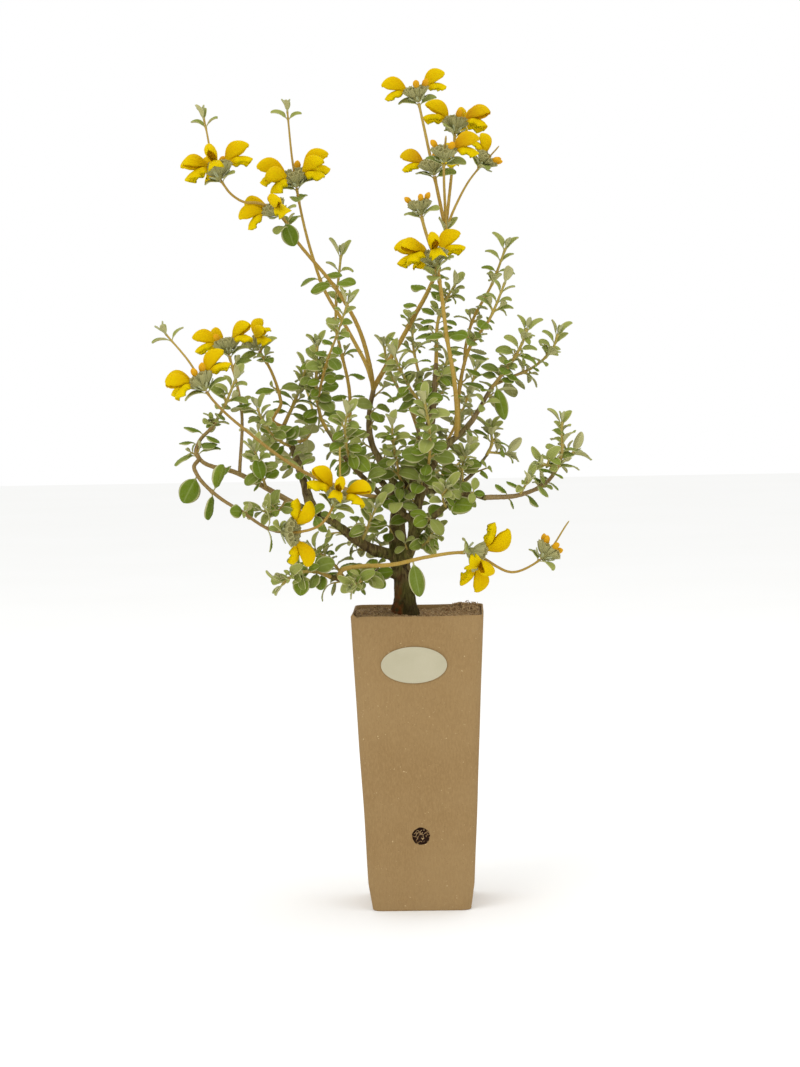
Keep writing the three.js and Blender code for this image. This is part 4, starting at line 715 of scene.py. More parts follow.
lines = {}
for name, (parent, foot, tip, way) in WOOD.items():
    points = [seen(mark) for mark in way]
    if parent:
        points[0] = lines[parent].place(nearest_on(lines[parent], points[0]))["point"]
    lines[name] = Line(points, foot, tip, STRAIGHT["wood"], 0)
    put_line("wood", lines[name], 0, lines[name].length)

whorl_parts = []
stem_nodes = []


def lay_out(node, spec, parent, seed):
    """Splits a stem at its whorls: its foot stays with its node, and each whorl takes the stretch above it"""
    points = [seen(mark) for mark in spec["way"]]
    points[0] = parent.place(nearest_on(parent, points[0]))["point"]
    draw = drawer(seed)
    stem = Line(points, spec["radius"], spec["tip"], STRAIGHT["stem"], draw(0, 90))
    heads = [(head, nearest_on(stem, seen(head["at"]))) for head in spec.get("heads", [])]
    foot = heads[0][1] - WHORL["below"] - GAP if heads else stem.length
    put_line(node["name"], stem, 0, foot)
    node["parts"].append(dict(stem=stem, start=0, end=foot, pairs=spec.get("pairs", 0),
                              bare=spec.get("bare", 4), draw=draw, ends=not heads, seed=seed,
                              tipped=not heads))
    parts = []
    for i, (head, at) in enumerate(heads):
        owner = f"whorl_{len(whorl_parts) + 1 + i:02d}"
        start = at - WHORL["below"]
        last = i + 1 == len(heads)
        end = stem.length if last else heads[i + 1][1] - WHORL["below"] - GAP
        put_line(owner, stem, start, end)
        parts.append(dict(name=owner, stem=stem, start=start, end=end, at=at, draw=draw, seed=seed * 3 + i,
                          head=head, ends=last, tuft=spec.get("tuft", False) and last, size=head["size"]))
    whorl_parts.extend(parts)
    return stem


for index, (name, spec) in enumerate(STEMS.items()):
    node = dict(name=name, parts=[], large=[])
    stem = lay_out(node, spec, lines[spec["on"]], 10 * index + 1)
    for i, fork in enumerate(spec.get("forks", [])):
        lay_out(node, fork, stem, 10 * index + 2 + i)
    stem_nodes.append(node)

for part in whorl_parts:
    part["florets"] = whorl(part["name"], part["stem"], part["at"], part["head"], part["draw"])

# Single large leaves that stand out in the front view: the stem's node, a mark on the stem, the mark of the
# leaf's tip, and the leaf's width. They take the first depth at which they are clear.
LARGE = [
    ["right_upper", [495, 385, 2], [505, 420], 9.5],
    ["left_top_flowers", [283, 224, -22], [293, 248], 12],
    ["left_spray", [196, 473, -67], [184, 503], 15],
    ["left_spray", [256, 457, -70], [262, 479], 10],
    ["low_left_tip", [304, 572, -51], [300, 596], 11.5],
    ["low_right", [411, 547, -7], [438, 536], 12],
    ["right_low_near", [445, 504, -34], [473, 506], 13],
    ["low_flowers", [413, 560, -57], [420, 597], 11],
]
LARGE_FACE = (0.0, -1.0, 0.35)
SHIFTS = (0, 4, -4, 8, -8, 12, -12)


def large_blade(node, foot, tip, width):
    mark = seen(foot)
    best = None
    for part in node["parts"]:
        at = min(max(nearest_on(part["stem"], mark), part["start"] + 1.5), part["end"] - 1.5)
        gap = apart(part["stem"].place(at)["point"], mark)
        if best is None or gap < best[0]:
            best = (gap, part["stem"], at)
    root = best[1].place(best[2])["point"]
    for shift in SHIFTS:
        run = plus(seen((tip[0], tip[1], dot(root, AWAY) + shift)), root, -1)
        out = unit(run)
        blade = dict(root=root, out=out, up=square_to(LARGE_FACE, out), length=length_of(run) * 1.01,
                     width=width, lift=15, bend=30, roll=0, age=1.0, shift=best[1].shift(best[2]))
        probes = probes_of(blade)
        if is_free(node["name"], probes, OTHER_GAP):
            take_place(node["name"], probes)
            return blade
    return None


for name, foot, tip, width in LARGE:
    node = next(other for other in stem_nodes if other["name"] == name)
    blade = large_blade(node, foot, tip, width)
    if blade:
        node["large"].append(blade)

for part in whorl_parts:
    if part["tuft"]:
        part["joints"] = [
            pair_at(part["name"], part["stem"], part["end"] - JOINT_TIP * below, i, age, scale, part["draw"])
            for i, (below, age, scale) in enumerate(((1, 0, 0.75), (3, 0.25, 0.8)))]
    else:
        part["joints"] = bracts(part["name"], part)
for node in stem_nodes:
    for part in node["parts"]:
        part["joints"] = bracts(node["name"], part)
for node in stem_nodes:
    for part in node["parts"]:
        part["joints"] += foliage(node["name"], part)


def linked(name, data):
    """An object of the scene that holds a mesh, a lamp or a camera"""
    made = bpy.data.objects.new(name, data)
    bpy.context.scene.collection.objects.link(made)
    return made


class Body:
    """The points, faces and marks of one piece, gathered from many closed skins"""

    def __init__(self):
        self.points, self.marks, self.tints = [], [], []
        self.quads, self.tris, self.quad_looks, self.tri_looks = [], [], [], []
        self.count = 0

    def skin(self, rings, first, last, marks, tint, look):
        """Rings of points closed into one skin by a point at each end. Marks go with the points."""
        rows, sides = rings.shape[:2]
        start = self.count
        index = start + np.arange(rows * sides).reshape(rows, sides)
        after = np.roll(index, -1, axis=1)
        a, b = start + rows * sides, start + rows * sides + 1
        quads = np.stack([index[:-1], after[:-1], after[1:], index[1:]], -1).reshape(-1, 4)
        foot = np.stack([np.full(sides, a), after[0], index[0]], -1)
        head = np.stack([np.full(sides, b), index[-1], after[-1]], -1)
        self.quads.append(quads)
        self.tris += [foot, head]
        self.quad_looks.append(np.full(len(quads), look))
        self.tri_looks.append(np.full(sides * 2, look))
        self.points.append(np.concatenate([rings.reshape(-1, 3), [first], [last]]))
        self.marks.append(np.concatenate([marks.reshape(-1, 3), [marks[0].mean(0)], [marks[-1].mean(0)]]))
        self.tints.append(np.tile(np.array(tint, float), (rows * sides + 2, 1)))
        self.count += rows * sides + 2

    def plain_skin(self, rings, first, last):
        """A skin of one finish, without marks"""
        self.skin(rings, first, last, np.zeros(rings.shape), (0, 0, 0), 0)

    def made(self, name, looks):
        """The piece as a mesh object in metres, with its marks and tints kept as attributes"""
        points = np.concatenate(self.points) * MM
        quads = np.concatenate(self.quads)
        tris = np.concatenate(self.tris)
        mesh = bpy.data.meshes.new(name)
        mesh.from_pydata(points.tolist(), [], quads.tolist() + tris.tolist())
        for key, values in (("mark", self.marks), ("tint", self.tints)):
            made = mesh.attributes.new(key, "FLOAT_VECTOR", "POINT")
            made.data.foreach_set("vector", np.concatenate(values).astype(np.float32).ravel())
        for look in looks:
            mesh.materials.append(look)
        order = np.concatenate(self.quad_looks + self.tri_looks).astype(np.int32)
        mesh.polygons.foreach_set("material_index", order)
        mesh.polygons.foreach_set("use_smooth", np.ones(len(order), bool))
        mesh.update()
        return linked(name, mesh)


STEM_LOOK, LEAF_LOOK, CALYX_LOOK, PETAL_LOOK = range(4)


def rings_along(centres, sides, radii, count, ripple=None):
    """Round rings square to a course of centres, each turned to follow the one before"""
    slope = np.gradient(centres, axis=0)
    slope /= np.linalg.norm(slope, axis=1)[:, None]
    rings = []
    side = np.array(sides, float)
    angle = np.linspace(0, TURN, count, endpoint=False)
    for i, centre in enumerate(centres):
        side = side - slope[i] * side.dot(slope[i])
        side /= np.linalg.norm(side)
        other = np.cross(slope[i], side)
        reach = radii[i] * (1 if ripple is None else ripple[i])
        reach = np.broadcast_to(reach, (count,))[:, None]
        rings.append(centre + (np.cos(angle)[:, None] * side + np.sin(angle)[:, None] * other) * reach)
    return np.array(rings), slope


def woolly(rows, count, rough, draw):
    """How much each point of some rings stands out or in, for an uneven surface"""
    return np.array([[1 + draw(-rough, rough) for _ in range(count)] for _ in range(rows)])


class Sheet:
    """A blade's shape on a grid: shares of the length and of the half width, for its top and its underside"""

    def __init__(self, shares, across):
        top = np.concatenate([np.array(across[::-1]), -np.array(across[1:])])
        under = top[1:-1][::-1]
        self.t = np.tile(np.concatenate([top, under]), (len(shares), 1))
        self.is_top = np.tile(np.concatenate([np.ones(len(top)), -np.ones(len(under))]), (len(shares), 1))
        self.s = np.tile(np.array(shares)[:, None], (1, self.t.shape[1]))
        self.row = np.tile(np.arange(len(shares))[:, None], (1, self.t.shape[1]))


FINE_LEAF = Sheet([0, 0.06, 0.12, 0.17, 0.23, 0.3, 0.37, 0.44, 0.51, 0.58, 0.65, 0.72, 0.79, 0.86, 0.92,
                   0.97], [0, 0.18, 0.5, 0.82, 1])
SMALL_LEAF = Sheet([0, 0.1, 0.18, 0.3, 0.44, 0.58, 0.72, 0.85, 0.95], [0, 0.3, 0.75, 1])
FINE_LIP = Sheet([0, 0.07, 0.13, 0.18, 0.23, 0.28, 0.33, 0.38, 0.43, 0.48, 0.53, 0.59, 0.65, 0.71, 0.77,
                  0.83, 0.89, 0.94, 0.98], [0, 0.2, 0.42, 0.64, 0.84, 1])
PETIOLE = 0.15
# A wave along an edge may start anywhere between these
PHASES = (0, 6.28)


def leaf_width(s):
    """The half width of a leaf along its length: a stalk, then a blunt oval that is widest past its middle"""
    x = np.clip((s - PETIOLE) / (1 - PETIOLE), 0, 1)
    return np.sin(math.pi * x ** 0.98) ** 0.52


LIP_WIDTHS = ([0, 0.1, 0.18, 0.25, 0.31, 0.37, 0.43, 0.49, 0.54, 0.6, 0.67, 0.75, 0.83, 0.9, 0.95, 0.985, 1],
              [0.2, 0.34, 0.6, 0.84, 0.98, 1.05, 1.0, 0.84, 0.7, 0.72, 0.86, 1.0, 1.06, 1.0, 0.8, 0.5, 0.16])
LIP_DROPS = ([0, 0.12, 0.2, 0.28, 0.36, 0.44, 0.5, 0.56, 0.64, 0.74, 0.84, 0.93, 0.98, 1],
             [0.3, 1.6, 3.4, 4.6, 4.8, 4.6, 4.2, 4.0, 4.2, 4.6, 4.6, 3.6, 2.2, 0.6])


def blade_points(blade, sheet, widths, rise, half, shift):
    """Lays a grid on a blade: widths are half widths, rise lifts the surface, half is half its thickness"""
    turn = blade["bend"] * RAD
    start = blade["lift"] * RAD
    angle = start - turn * sheet.s
    out = (math.sin(start) - np.sin(angle)) / turn * blade["length"]
    up = (np.cos(angle) - math.cos(start)) / turn * blade["length"]
    axis_out, axis_up = np.array(blade["out"]), np.array(blade["up"])
    flat = np.cross(axis_up, axis_out)
    along = np.cos(angle)[..., None] * axis_out + np.sin(angle)[..., None] * axis_up
    roll = blade["roll"] * RAD
    side = flat * math.cos(roll) + np.cross(along, flat) * math.sin(roll)
    normal = np.cross(along, side)
    point = np.array(blade["root"]) + out[..., None] * axis_out + up[..., None] * axis_up
    height = rise + sheet.is_top * half
    return point + side * (sheet.t * widths)[..., None] + normal * height[..., None] + np.array(shift)


def add_leaf(body, blade, sheet, draw, shift=(0, 0, 0), thick=1.0, wool=0.0):
    """A thick blunt blade with a sunk midrib, raised cushions between its side veins and a rolled rim"""
    age = blade["age"]
    reach = blade["width"] / 2
    stalk = 0.55 * thick
    widths = np.maximum(leaf_width(sheet.s) * reach, stalk * (1.15 - 0.8 * sheet.s))
    blade_part = np.clip((sheet.s - PETIOLE) / 0.2, 0, 1)
    cup = (0.5 - 0.8 * age + draw(-0.12, 0.12)) * np.abs(sheet.t) ** 1.6 * widths * blade_part
    groove = -0.26 * np.exp(-(sheet.t / 0.16) ** 2) * blade_part * thick
    cushions = 0.13 * np.where(sheet.row % 2 == 0, 1, -1) * np.sin(math.pi * np.clip(np.abs(sheet.t), 0, 1))
    cushions = cushions * blade_part * (sheet.s < 0.92) * thick
    rim = -0.16 * (np.abs(sheet.t) > 0.95) * blade_part
    phase = draw(*PHASES)
    wave = 0.02 * blade["length"] * np.sin(phase + sheet.s * 7.5) * sheet.t * blade_part
    half = (0.36 * thick) * (1 - np.abs(sheet.t) ** 3)
    half = half + 0.12 * (sheet.is_top < 0) * np.exp(-(sheet.t / 0.2) ** 2) * blade_part
    points = blade_points(blade, sheet, widths, cup + groove + cushions + rim + wave, half, shift)
    marks = np.stack([sheet.s, sheet.t, sheet.is_top], -1)
    first = tuple(np.array(blade["root"]) + np.array(shift))
    last = tuple(np.array(blade_at(blade, 1.0)["point"]) + np.array(shift))
    tint = (age, draw(0, 1), wool)
    body.skin(points, first, last, marks, tint, LEAF_LOOK)


STEM_SIDES = 12
# Old shoots that have turned to grey-brown wood for most of their length
WOODY = {"right_low_tip": 1, "left_spray": 0.8, "left_flowers": 0.3, "back_tall": 0.5, "right_upper": 0.4}


def add_stem(body, part, shade, draw):
    """A round stem with a swelling at each pair of leaves, and a woolly, slightly uneven surface"""
    stem, start, end = part["stem"], part["start"], part["end"]
    count = max(int((end - start) / 1.3), 4)
    at = np.linspace(start, end, count)
    centres = stem.smooth(at)
    radii = np.interp(at, stem.run, stem.radius)
    for joint in part["joints"]:
        radii = radii * (1 + 0.28 * np.exp(-((at - joint["at"] + 0.4) / 1.1) ** 2))
    if part["ends"]:
        radii = radii * np.clip((stem.length - at) / 1.2 + 0.55, 0.55, 1)
    wool = woolly(count, STEM_SIDES, 0.05, draw)
    rings, slope = rings_along(centres, stem.sides[0], radii, STEM_SIDES, wool)
    marks = np.zeros(rings.shape)
    marks[..., 0] = at[:, None] / 10
    marks[..., 1] = np.linspace(0, 1, STEM_SIDES, endpoint=False)[None, :]
    marks[..., 2] = np.clip((stem.length - at) / 60, 0, 1)[:, None]
    last = centres[-1] + slope[-1] * radii[-1] * (0.9 if part["ends"] else 0.02)
    body.skin(rings, centres[0], last, marks, (shade, draw(0, 1), part.get("woody", 0)), STEM_LOOK)


def add_calyx(body, floret, place, draw):
    """A ribbed woolly tube that ends in five short teeth, hollow at its mouth"""
    size = floret["size"]
    foot = np.array(between(place["point"], floret["foot"], 0.4))
    mouth = np.array(floret["mouth"])
    reach = mouth - foot
    count = 20
    shares = np.array([0, 0.12, 0.26, 0.42, 0.58, 0.74, 0.88, 1.0])
    radii = np.array([1.0, 1.35, 1.62, 1.78, 1.86, 1.9, 1.94, 2.0]) * size
    sag = np.array(floret["back"]) * (-0.5 * size)
    centres = foot + shares[:, None] * reach + (np.sin(math.pi * shares) * 1.0)[:, None] * sag
    ribs = 1 + 0.1 * np.where(np.arange(count) % 2 == 0, 1, -1) * np.clip(shares * 3, 0, 1)[:, None]
    outer, slope = rings_along(centres, floret["side"], radii, count, ribs)
    tooth = np.tile([1.0, 0.42, 0.0, 0.42], 5)
    aim = slope[-1]
    middle = centres[-1]
    spread = outer[-1] - middle
    rim = outer[-1] + aim * (tooth[:, None] * 0.55 * size) + spread * (0.03 + 0.1 * tooth[:, None])
    lining = middle + spread * 0.82 + aim * (tooth[:, None] * 0.4 * size) + spread * (0.08 * tooth[:, None])
    half_way = (centres[-1] + centres[-2]) / 2
    deep = half_way + (outer[-2] - centres[-2]) * 0.68
    floor = centres[-2] + (outer[-2] - centres[-2]) * 0.4
    rings = np.concatenate([outer, [rim], [lining], [deep], [floor]])
    marks = np.zeros(rings.shape)
    marks[..., 0] = np.concatenate([shares, [1.15, 1.15, 0.7, 0.4]])[:, None]
    marks[..., 1] = (np.arange(count) % 2 == 0)[None, :]
    marks[..., 2] = np.concatenate([np.zeros(9), [0.6, 1, 1]])[:, None]
    body.skin(rings, foot - reach * 0.05, centres[-2], marks, (0, draw(0, 1), 0), CALYX_LOOK)


# The hood's course: along from the mouth, its ridge, its open lower edge, its half width, and the angle from
# the ridge down to that edge (180 where it is still a closed tube)
HOOD = np.array([[-4.0, 1.15, -1.15, 1.1, 180], [-2.0, 1.3, -1.3, 1.25, 180], [-0.3, 1.9, -1.3, 1.5, 180],
                 [1.2, 3.4, -1.2, 1.9, 156], [3.0, 5.0, -1.1, 2.4, 144], [5.0, 6.3, -1.35, 2.85, 137],
                 [7.2, 7.0, -1.75, 3.2, 133], [9.4, 7.1, -2.0, 3.35, 131], [11.4, 6.5, -2.1, 3.3, 131],
                 [13.1, 5.4, -2.05, 3.05, 132], [14.5, 4.0, -1.9, 2.65, 134], [15.5, 2.5, -1.7, 2.1, 136],
                 [16.1, 1.2, -1.4, 1.45, 138], [16.4, 0.3, -1.1, 0.8, 139]])
HOOD_END = (16.5, -0.5)
# The hood's share of 0 lies this far behind the mouth, and its share of 1 is this far on from there
HOOD_BEHIND, HOOD_SPAN = 4.2, 21
# Below this angle the hood is open, with a fringe along its edge
HOOD_OPEN = 140
HOOD_ARC = 15


def add_hood(body, floret, draw):
    """The upper lip: a tube that widens into a deep keeled helmet, open below, with a fringed lower edge"""
    size = floret["size"]
    along, back, side = (np.array(floret[key]) for key in ("along", "back", "side"))
    centre = np.array(floret["mouth"])
    steep = (centre - np.array(floret["foot"])) / (CALYX["length"] * size)
    droop, lean, phase = draw(-0.7, 0.5), draw(-0.7, 0.7), draw(*PHASES)
    rings, marks = [], []
    thick = 0.42 * size
    for x, top, low, half, spread in HOOD:
        share = (x + HOOD_BEHIND) / HOOD_SPAN
        is_open = spread < HOOD_OPEN
        edge = -math.sin((90 - spread) * RAD)
        high = (top - low) / (1 + edge)
        level = top - high + droop * share ** 2
        angle = np.linspace(90 - spread, 90 + spread, HOOD_ARC) * RAD
        middle = centre + (along if x > 0 else steep) * (x * size)
        middle = middle + back * (level * size) + side * (lean * share ** 2 * size)
        flank = np.abs(angle - math.pi / 2)
        pleat = 1 + 0.05 * np.sin(phase + flank * 7 + x * 0.5) * np.clip(flank, 0, 1) * min(max(x, 0) / 3, 1)
        fringe = 0.35 * size * np.sin(phase + x * 3.1) * (flank > flank.max() - 0.02) * is_open
        narrow = np.sign(np.cos(angle))
        if is_open:
            narrow = np.abs(np.cos(angle)) ** 0.12 * narrow
        wide = half * size * np.abs(np.cos(angle)) * narrow * pleat
        tall = high * size * np.sin(angle)
        outer = middle + side * wide[:, None] + back * (tall + fringe)[:, None]
        slim = max(half * size - thick, 0.12) / (half * size)
        low_high = max(high * size - thick, 0.12) / (high * size)
        inner = middle + side * (wide * slim)[:, None] + back * (tall * low_high + fringe)[:, None]
        rings.append(np.concatenate([outer, inner[::-1]]))
        mark = np.stack([np.full(HOOD_ARC, share), (angle - math.pi / 2) / math.pi, np.zeros(HOOD_ARC)], -1)
        # The inner surface is marked so that the petal look can paint it lighter, as painted light against the
        # shade inside the hood
        inside = mark[::-1].copy()
        inside[:, 2] = 1
        marks.append(np.concatenate([mark, inside]))
    rings, marks = np.array(rings), np.array(marks)
    last = centre + along * (HOOD_END[0] * size)
    last = last + back * ((HOOD_END[1] + droop) * size) + side * (lean * size)
    body.skin(rings, rings[0].mean(0), last, marks, (0, draw(0, 1), floret.get("wilted", 0)), PETAL_LOOK)


def add_lip(body, floret, draw):
    """The lower lip: two small side lobes, a waist, and a broad round middle lobe with a wavy edge"""
    blade = lip_blade(floret)
    sheet = FINE_LIP
    reach = blade["width"] / 2
    widths = np.interp(sheet.s, *LIP_WIDTHS) * reach
    phase = draw(*PHASES)
    t = np.abs(sheet.t)
    mid_lobe = np.clip((sheet.s - 0.58) / 0.2, 0, 1)
    widths = widths * (1 + 0.09 * np.sin(phase + sheet.s * 60) * (t > 0.95) * (sheet.s > 0.2))
    widths = widths + sheet.is_top * 0.2 * floret["size"] * t ** 1.5 * (t < 0.99)
    ears = 0.8 * np.exp(-((sheet.s - 0.36) / 0.12) ** 2 - ((t - 0.7) / 0.22) ** 2)
    rise = ears - np.interp(sheet.s, *LIP_DROPS) * t ** 3.2
    rise = rise + mid_lobe * 0.5 * np.sin(phase + sheet.s * 22) * t ** 2
    rise = rise + 0.35 * np.exp(-(sheet.t / 0.2) ** 2) * (sheet.s > 0.15) * (sheet.s < 0.85)
    half = 0.26 * (1 - 0.8 * t ** 3) * floret["size"]
    half = half * (t < 0.99)
    points = blade_points(blade, sheet, widths, rise * floret["size"], half, (0, 0, 0))
    marks = np.stack([sheet.s, sheet.t, sheet.is_top], -1)
    last = np.array(blade_at(blade, 1.0)["point"])
    body.skin(points, np.array(blade["root"]), last, marks, (1, draw(0, 1), 0), PETAL_LOOK)


BUD_SIDES = 14
CORE_SIDES = 16


def add_bud(body, floret, draw):
    """A closed corolla: a woolly knob that bulges out of its calyx, bent a little forward"""
    size = floret["size"]
    along, back = np.array(floret["along"]), np.array(floret["back"])
    ahead = np.array([-2.0, -0.4, 0.8, 2.0, 3.1, 4.0, 4.8, 5.4]) * size
    radii = np.array([1.3, 1.5, 1.85, 2.15, 2.1, 1.8, 1.25, 0.6]) * size
    drop = -0.02 * ahead ** 2
    centres = np.array(floret["mouth"]) + ahead[:, None] * along + drop[:, None] * back
    wool = woolly(len(ahead), BUD_SIDES, 0.04, draw)
    rings, slope = rings_along(centres, floret["side"], radii, BUD_SIDES, wool)
    marks = np.zeros(rings.shape)
    marks[..., 0] = (ahead / ahead[-1])[:, None]
    last = centres[-1] + slope[-1] * 0.35 * size
    body.skin(rings, centres[0], last, marks, (2, draw(0, 1), 0), PETAL_LOOK)


def add_core(body, part, draw):
    """The woolly cushion that the calyces stand on"""
    stem, at, size = part["stem"], part["at"], part["size"]
    steps = np.array([-3.3, -2.6, -1.5, 0, 1.5, 2.6, 3.3])
    radii = np.array([1.6, 2.6, 3.1, 3.3, 3.1, 2.5, 1.5]) * size
    centres = stem.smooth(at + steps)
    wool = woolly(len(steps), CORE_SIDES, 0.08, draw)
    rings, slope = rings_along(centres, stem.sides[0], radii, CORE_SIDES, wool)
    marks = np.zeros(rings.shape)
    marks[..., 0] = 0.2
    ends = (centres[0] - slope[0] * 0.3, centres[-1] + slope[-1] * 0.3)
    body.skin(rings, *ends, marks, (0, draw(0, 1), 0), CALYX_LOOK)


# Rings of bare calyces: how many in each, their tilt, their turn in steps of the ring, and their size
EXTRA_TUBES = ((7, 46, 0.5, 1.0), (4, 76, 0.15, 1.0))


def add_extra_tubes(body, part, draw):
    """Bare calyces that crowd in between the florets: a ring below them and a few that stand up inside"""
    place = part["stem"].place(part["at"])
    inside = part["end"] - part["at"] <= WHORL["stub"]
    start = kinds_of(part["head"])[0][1]
    for count, tilt, turn, scale in EXTRA_TUBES:
        for i in range(count):
            degrees = start + 360 * (i + turn) / count + draw(-7, 7)
            size = part["size"] * scale * draw(0.92, 1.05)
            floret = floret_for(place, degrees, 0, tilt + draw(-6, 6), size, "bare")
            if crossing(part["name"], fill_of(floret)) < 1.2 and (tilt < 60 or inside or i % 2 == 0):
                add_calyx(body, floret, place, draw)


def add_bristles(body, part, draw):
    """Narrow woolly bracts that stand out below the calyces and curve up between them"""
    place = part["stem"].place(part["at"] - 2.6)
    count = 7
    for i in range(count):
        out = around(place["along"], 360 * i / count + draw(-12, 12))
        blade = dict(root=plus(place["point"], out, 2.0), out=out, up=place["along"],
                     length=draw(5.4, 7.2) * part["size"], width=draw(1.6, 2.4), lift=draw(4, 22),
                     bend=draw(-50, -20), roll=draw(-20, 20), age=0.2)
        add_leaf(body, blade, SMALL_LEAF, draw, thick=0.75, wool=1.0)


# Small shoots: in the axils of the leaves, and straight from the wood
# The room that each of their leaves needs, then the sizes, lifts and turns that it may take
SPRIG_TRIES = (-0.25, (1, 0.75), (0, 20, -20), (0, 24, -24))


def sprig(owner, body, place, out, reach, pairs, size, age, shift, draw):
    """A short side shoot with one or more pairs of small leaves at its end"""
    up = unit(plus(plus(times(out, 0.8), place["along"], 0.55), UP, 0.35))
    foot = plus(place["point"], out, place["radius"] * 0.4)
    tip = plus(foot, up, reach)
    side = square_to(cross(up, place["along"]), up)
    grown = False
    for i in range(pairs):
        at = plus(tip, up, -reach * 0.45 * i)
        first = side if i % 2 == 0 else cross(up, side)
        for face in (first, times(first, -1)):
            stub = dict(point=at, along=up, radius=0.5)
            leaf = leaf_for(stub, face, 0.2, age + 0.3 * i, size / LEAF["young"] * (1 - 0.12 * i), draw)
            blade = settle(owner, leaf, *SPRIG_TRIES)
            if blade:
                grown = True
                add_leaf(body, blade, SMALL_LEAF, draw, shift, 0.85)
    if grown:
        centres = np.array([foot, plus(foot, up, reach * 0.5), plus(tip, up, 0.3)]) + np.array(shift)
        rings, slope = rings_along(centres, side, np.array([0.75, 0.6, 0.5]), 8)
        marks = np.zeros(rings.shape)
        marks[..., 2] = 0.3
        body.skin(rings, centres[0], centres[-1] + slope[-1] * 0.4, marks, (0.3, draw(0, 1), 0), STEM_LOOK)


def add_tip_pair(body, part, draw):
    """Two small leaves that stand closed at a shoot's tip"""
    stem = part["stem"]
    place = stem.place(stem.length - 0.6)
    shift = stem.shift(stem.length - 0.6)
    for face in (faces_of(place)[1], faces_of(place)[3]):
        blade = dict(root=plus(place["point"], face, 0.2), out=face, up=place["along"], length=draw(6.5, 9.5),
                     width=draw(3, 4.2), lift=draw(70, 82), bend=draw(4, 24), roll=draw(-10, 10), age=0.0)
        add_leaf(body, blade, SMALL_LEAF, draw, shift, 0.85, 0.4)


def dress_part(body, owner, part, shade, draw):
    part["woody"] = WOODY.get(owner, 0)
    add_stem(body, part, shade, draw)
    stem = part["stem"]
    for joint in part["joints"]:
        shift = stem.shift(joint["at"])
        for blade in joint["blades"]:
            if blade:
                add_leaf(body, blade, FINE_LEAF, draw, shift)
    if part["tipped"]:
        add_tip_pair(body, part, draw)


def dress_axils(body, owner, part, draw):
    """Small shoots at each pair of leaves, and between pairs that stand far apart"""
    stem = part["stem"]
    leafy = part["ends"] and part["pairs"] > 0
    for joint in part["joints"]:
        place = stem.place(joint["at"] + 0.9)
        shift = stem.shift(joint["at"])
        faces = faces_of(place)
        for k, blade in enumerate(joint["blades"]):
            if blade and stem.length - joint["at"] > 5 and draw(0, 1) < (0.9 if leafy else 0.3):
                sprig(owner, body, place, faces[k], draw(2.2, 4.5), 1 if draw(0, 1) < 0.6 else 2,
                      draw(6, 9.5), draw(0, 0.4), shift, draw)
    if not leafy:
        return
    marks = sorted([joint["at"] for joint in part["joints"]] + [max(part["start"] + 3, 4)])
    for i, (low, high) in enumerate(zip(marks, marks[1:])):
        if high - low < 6.5:
            continue
        for share in ((0.5,) if high - low < 12 else (0.34, 0.68)):
            at = low + (high - low) * share
            place = stem.place(at)
            shift = stem.shift(at)
            for k in ((0, 2), (1, 3))[i % 2]:
                age = min(1, (stem.length - at) / 40 + draw(-0.15, 0.15))
                face = faces_of(place)[k]
                leaf = leaf_for(place, face, place["radius"] * 0.7, max(age, 0), draw(0.62, 0.86), draw)
                blade = settle(owner, leaf, *SPRIG_TRIES)
                if blade:
                    add_leaf(body, blade, FINE_LEAF, draw, shift)


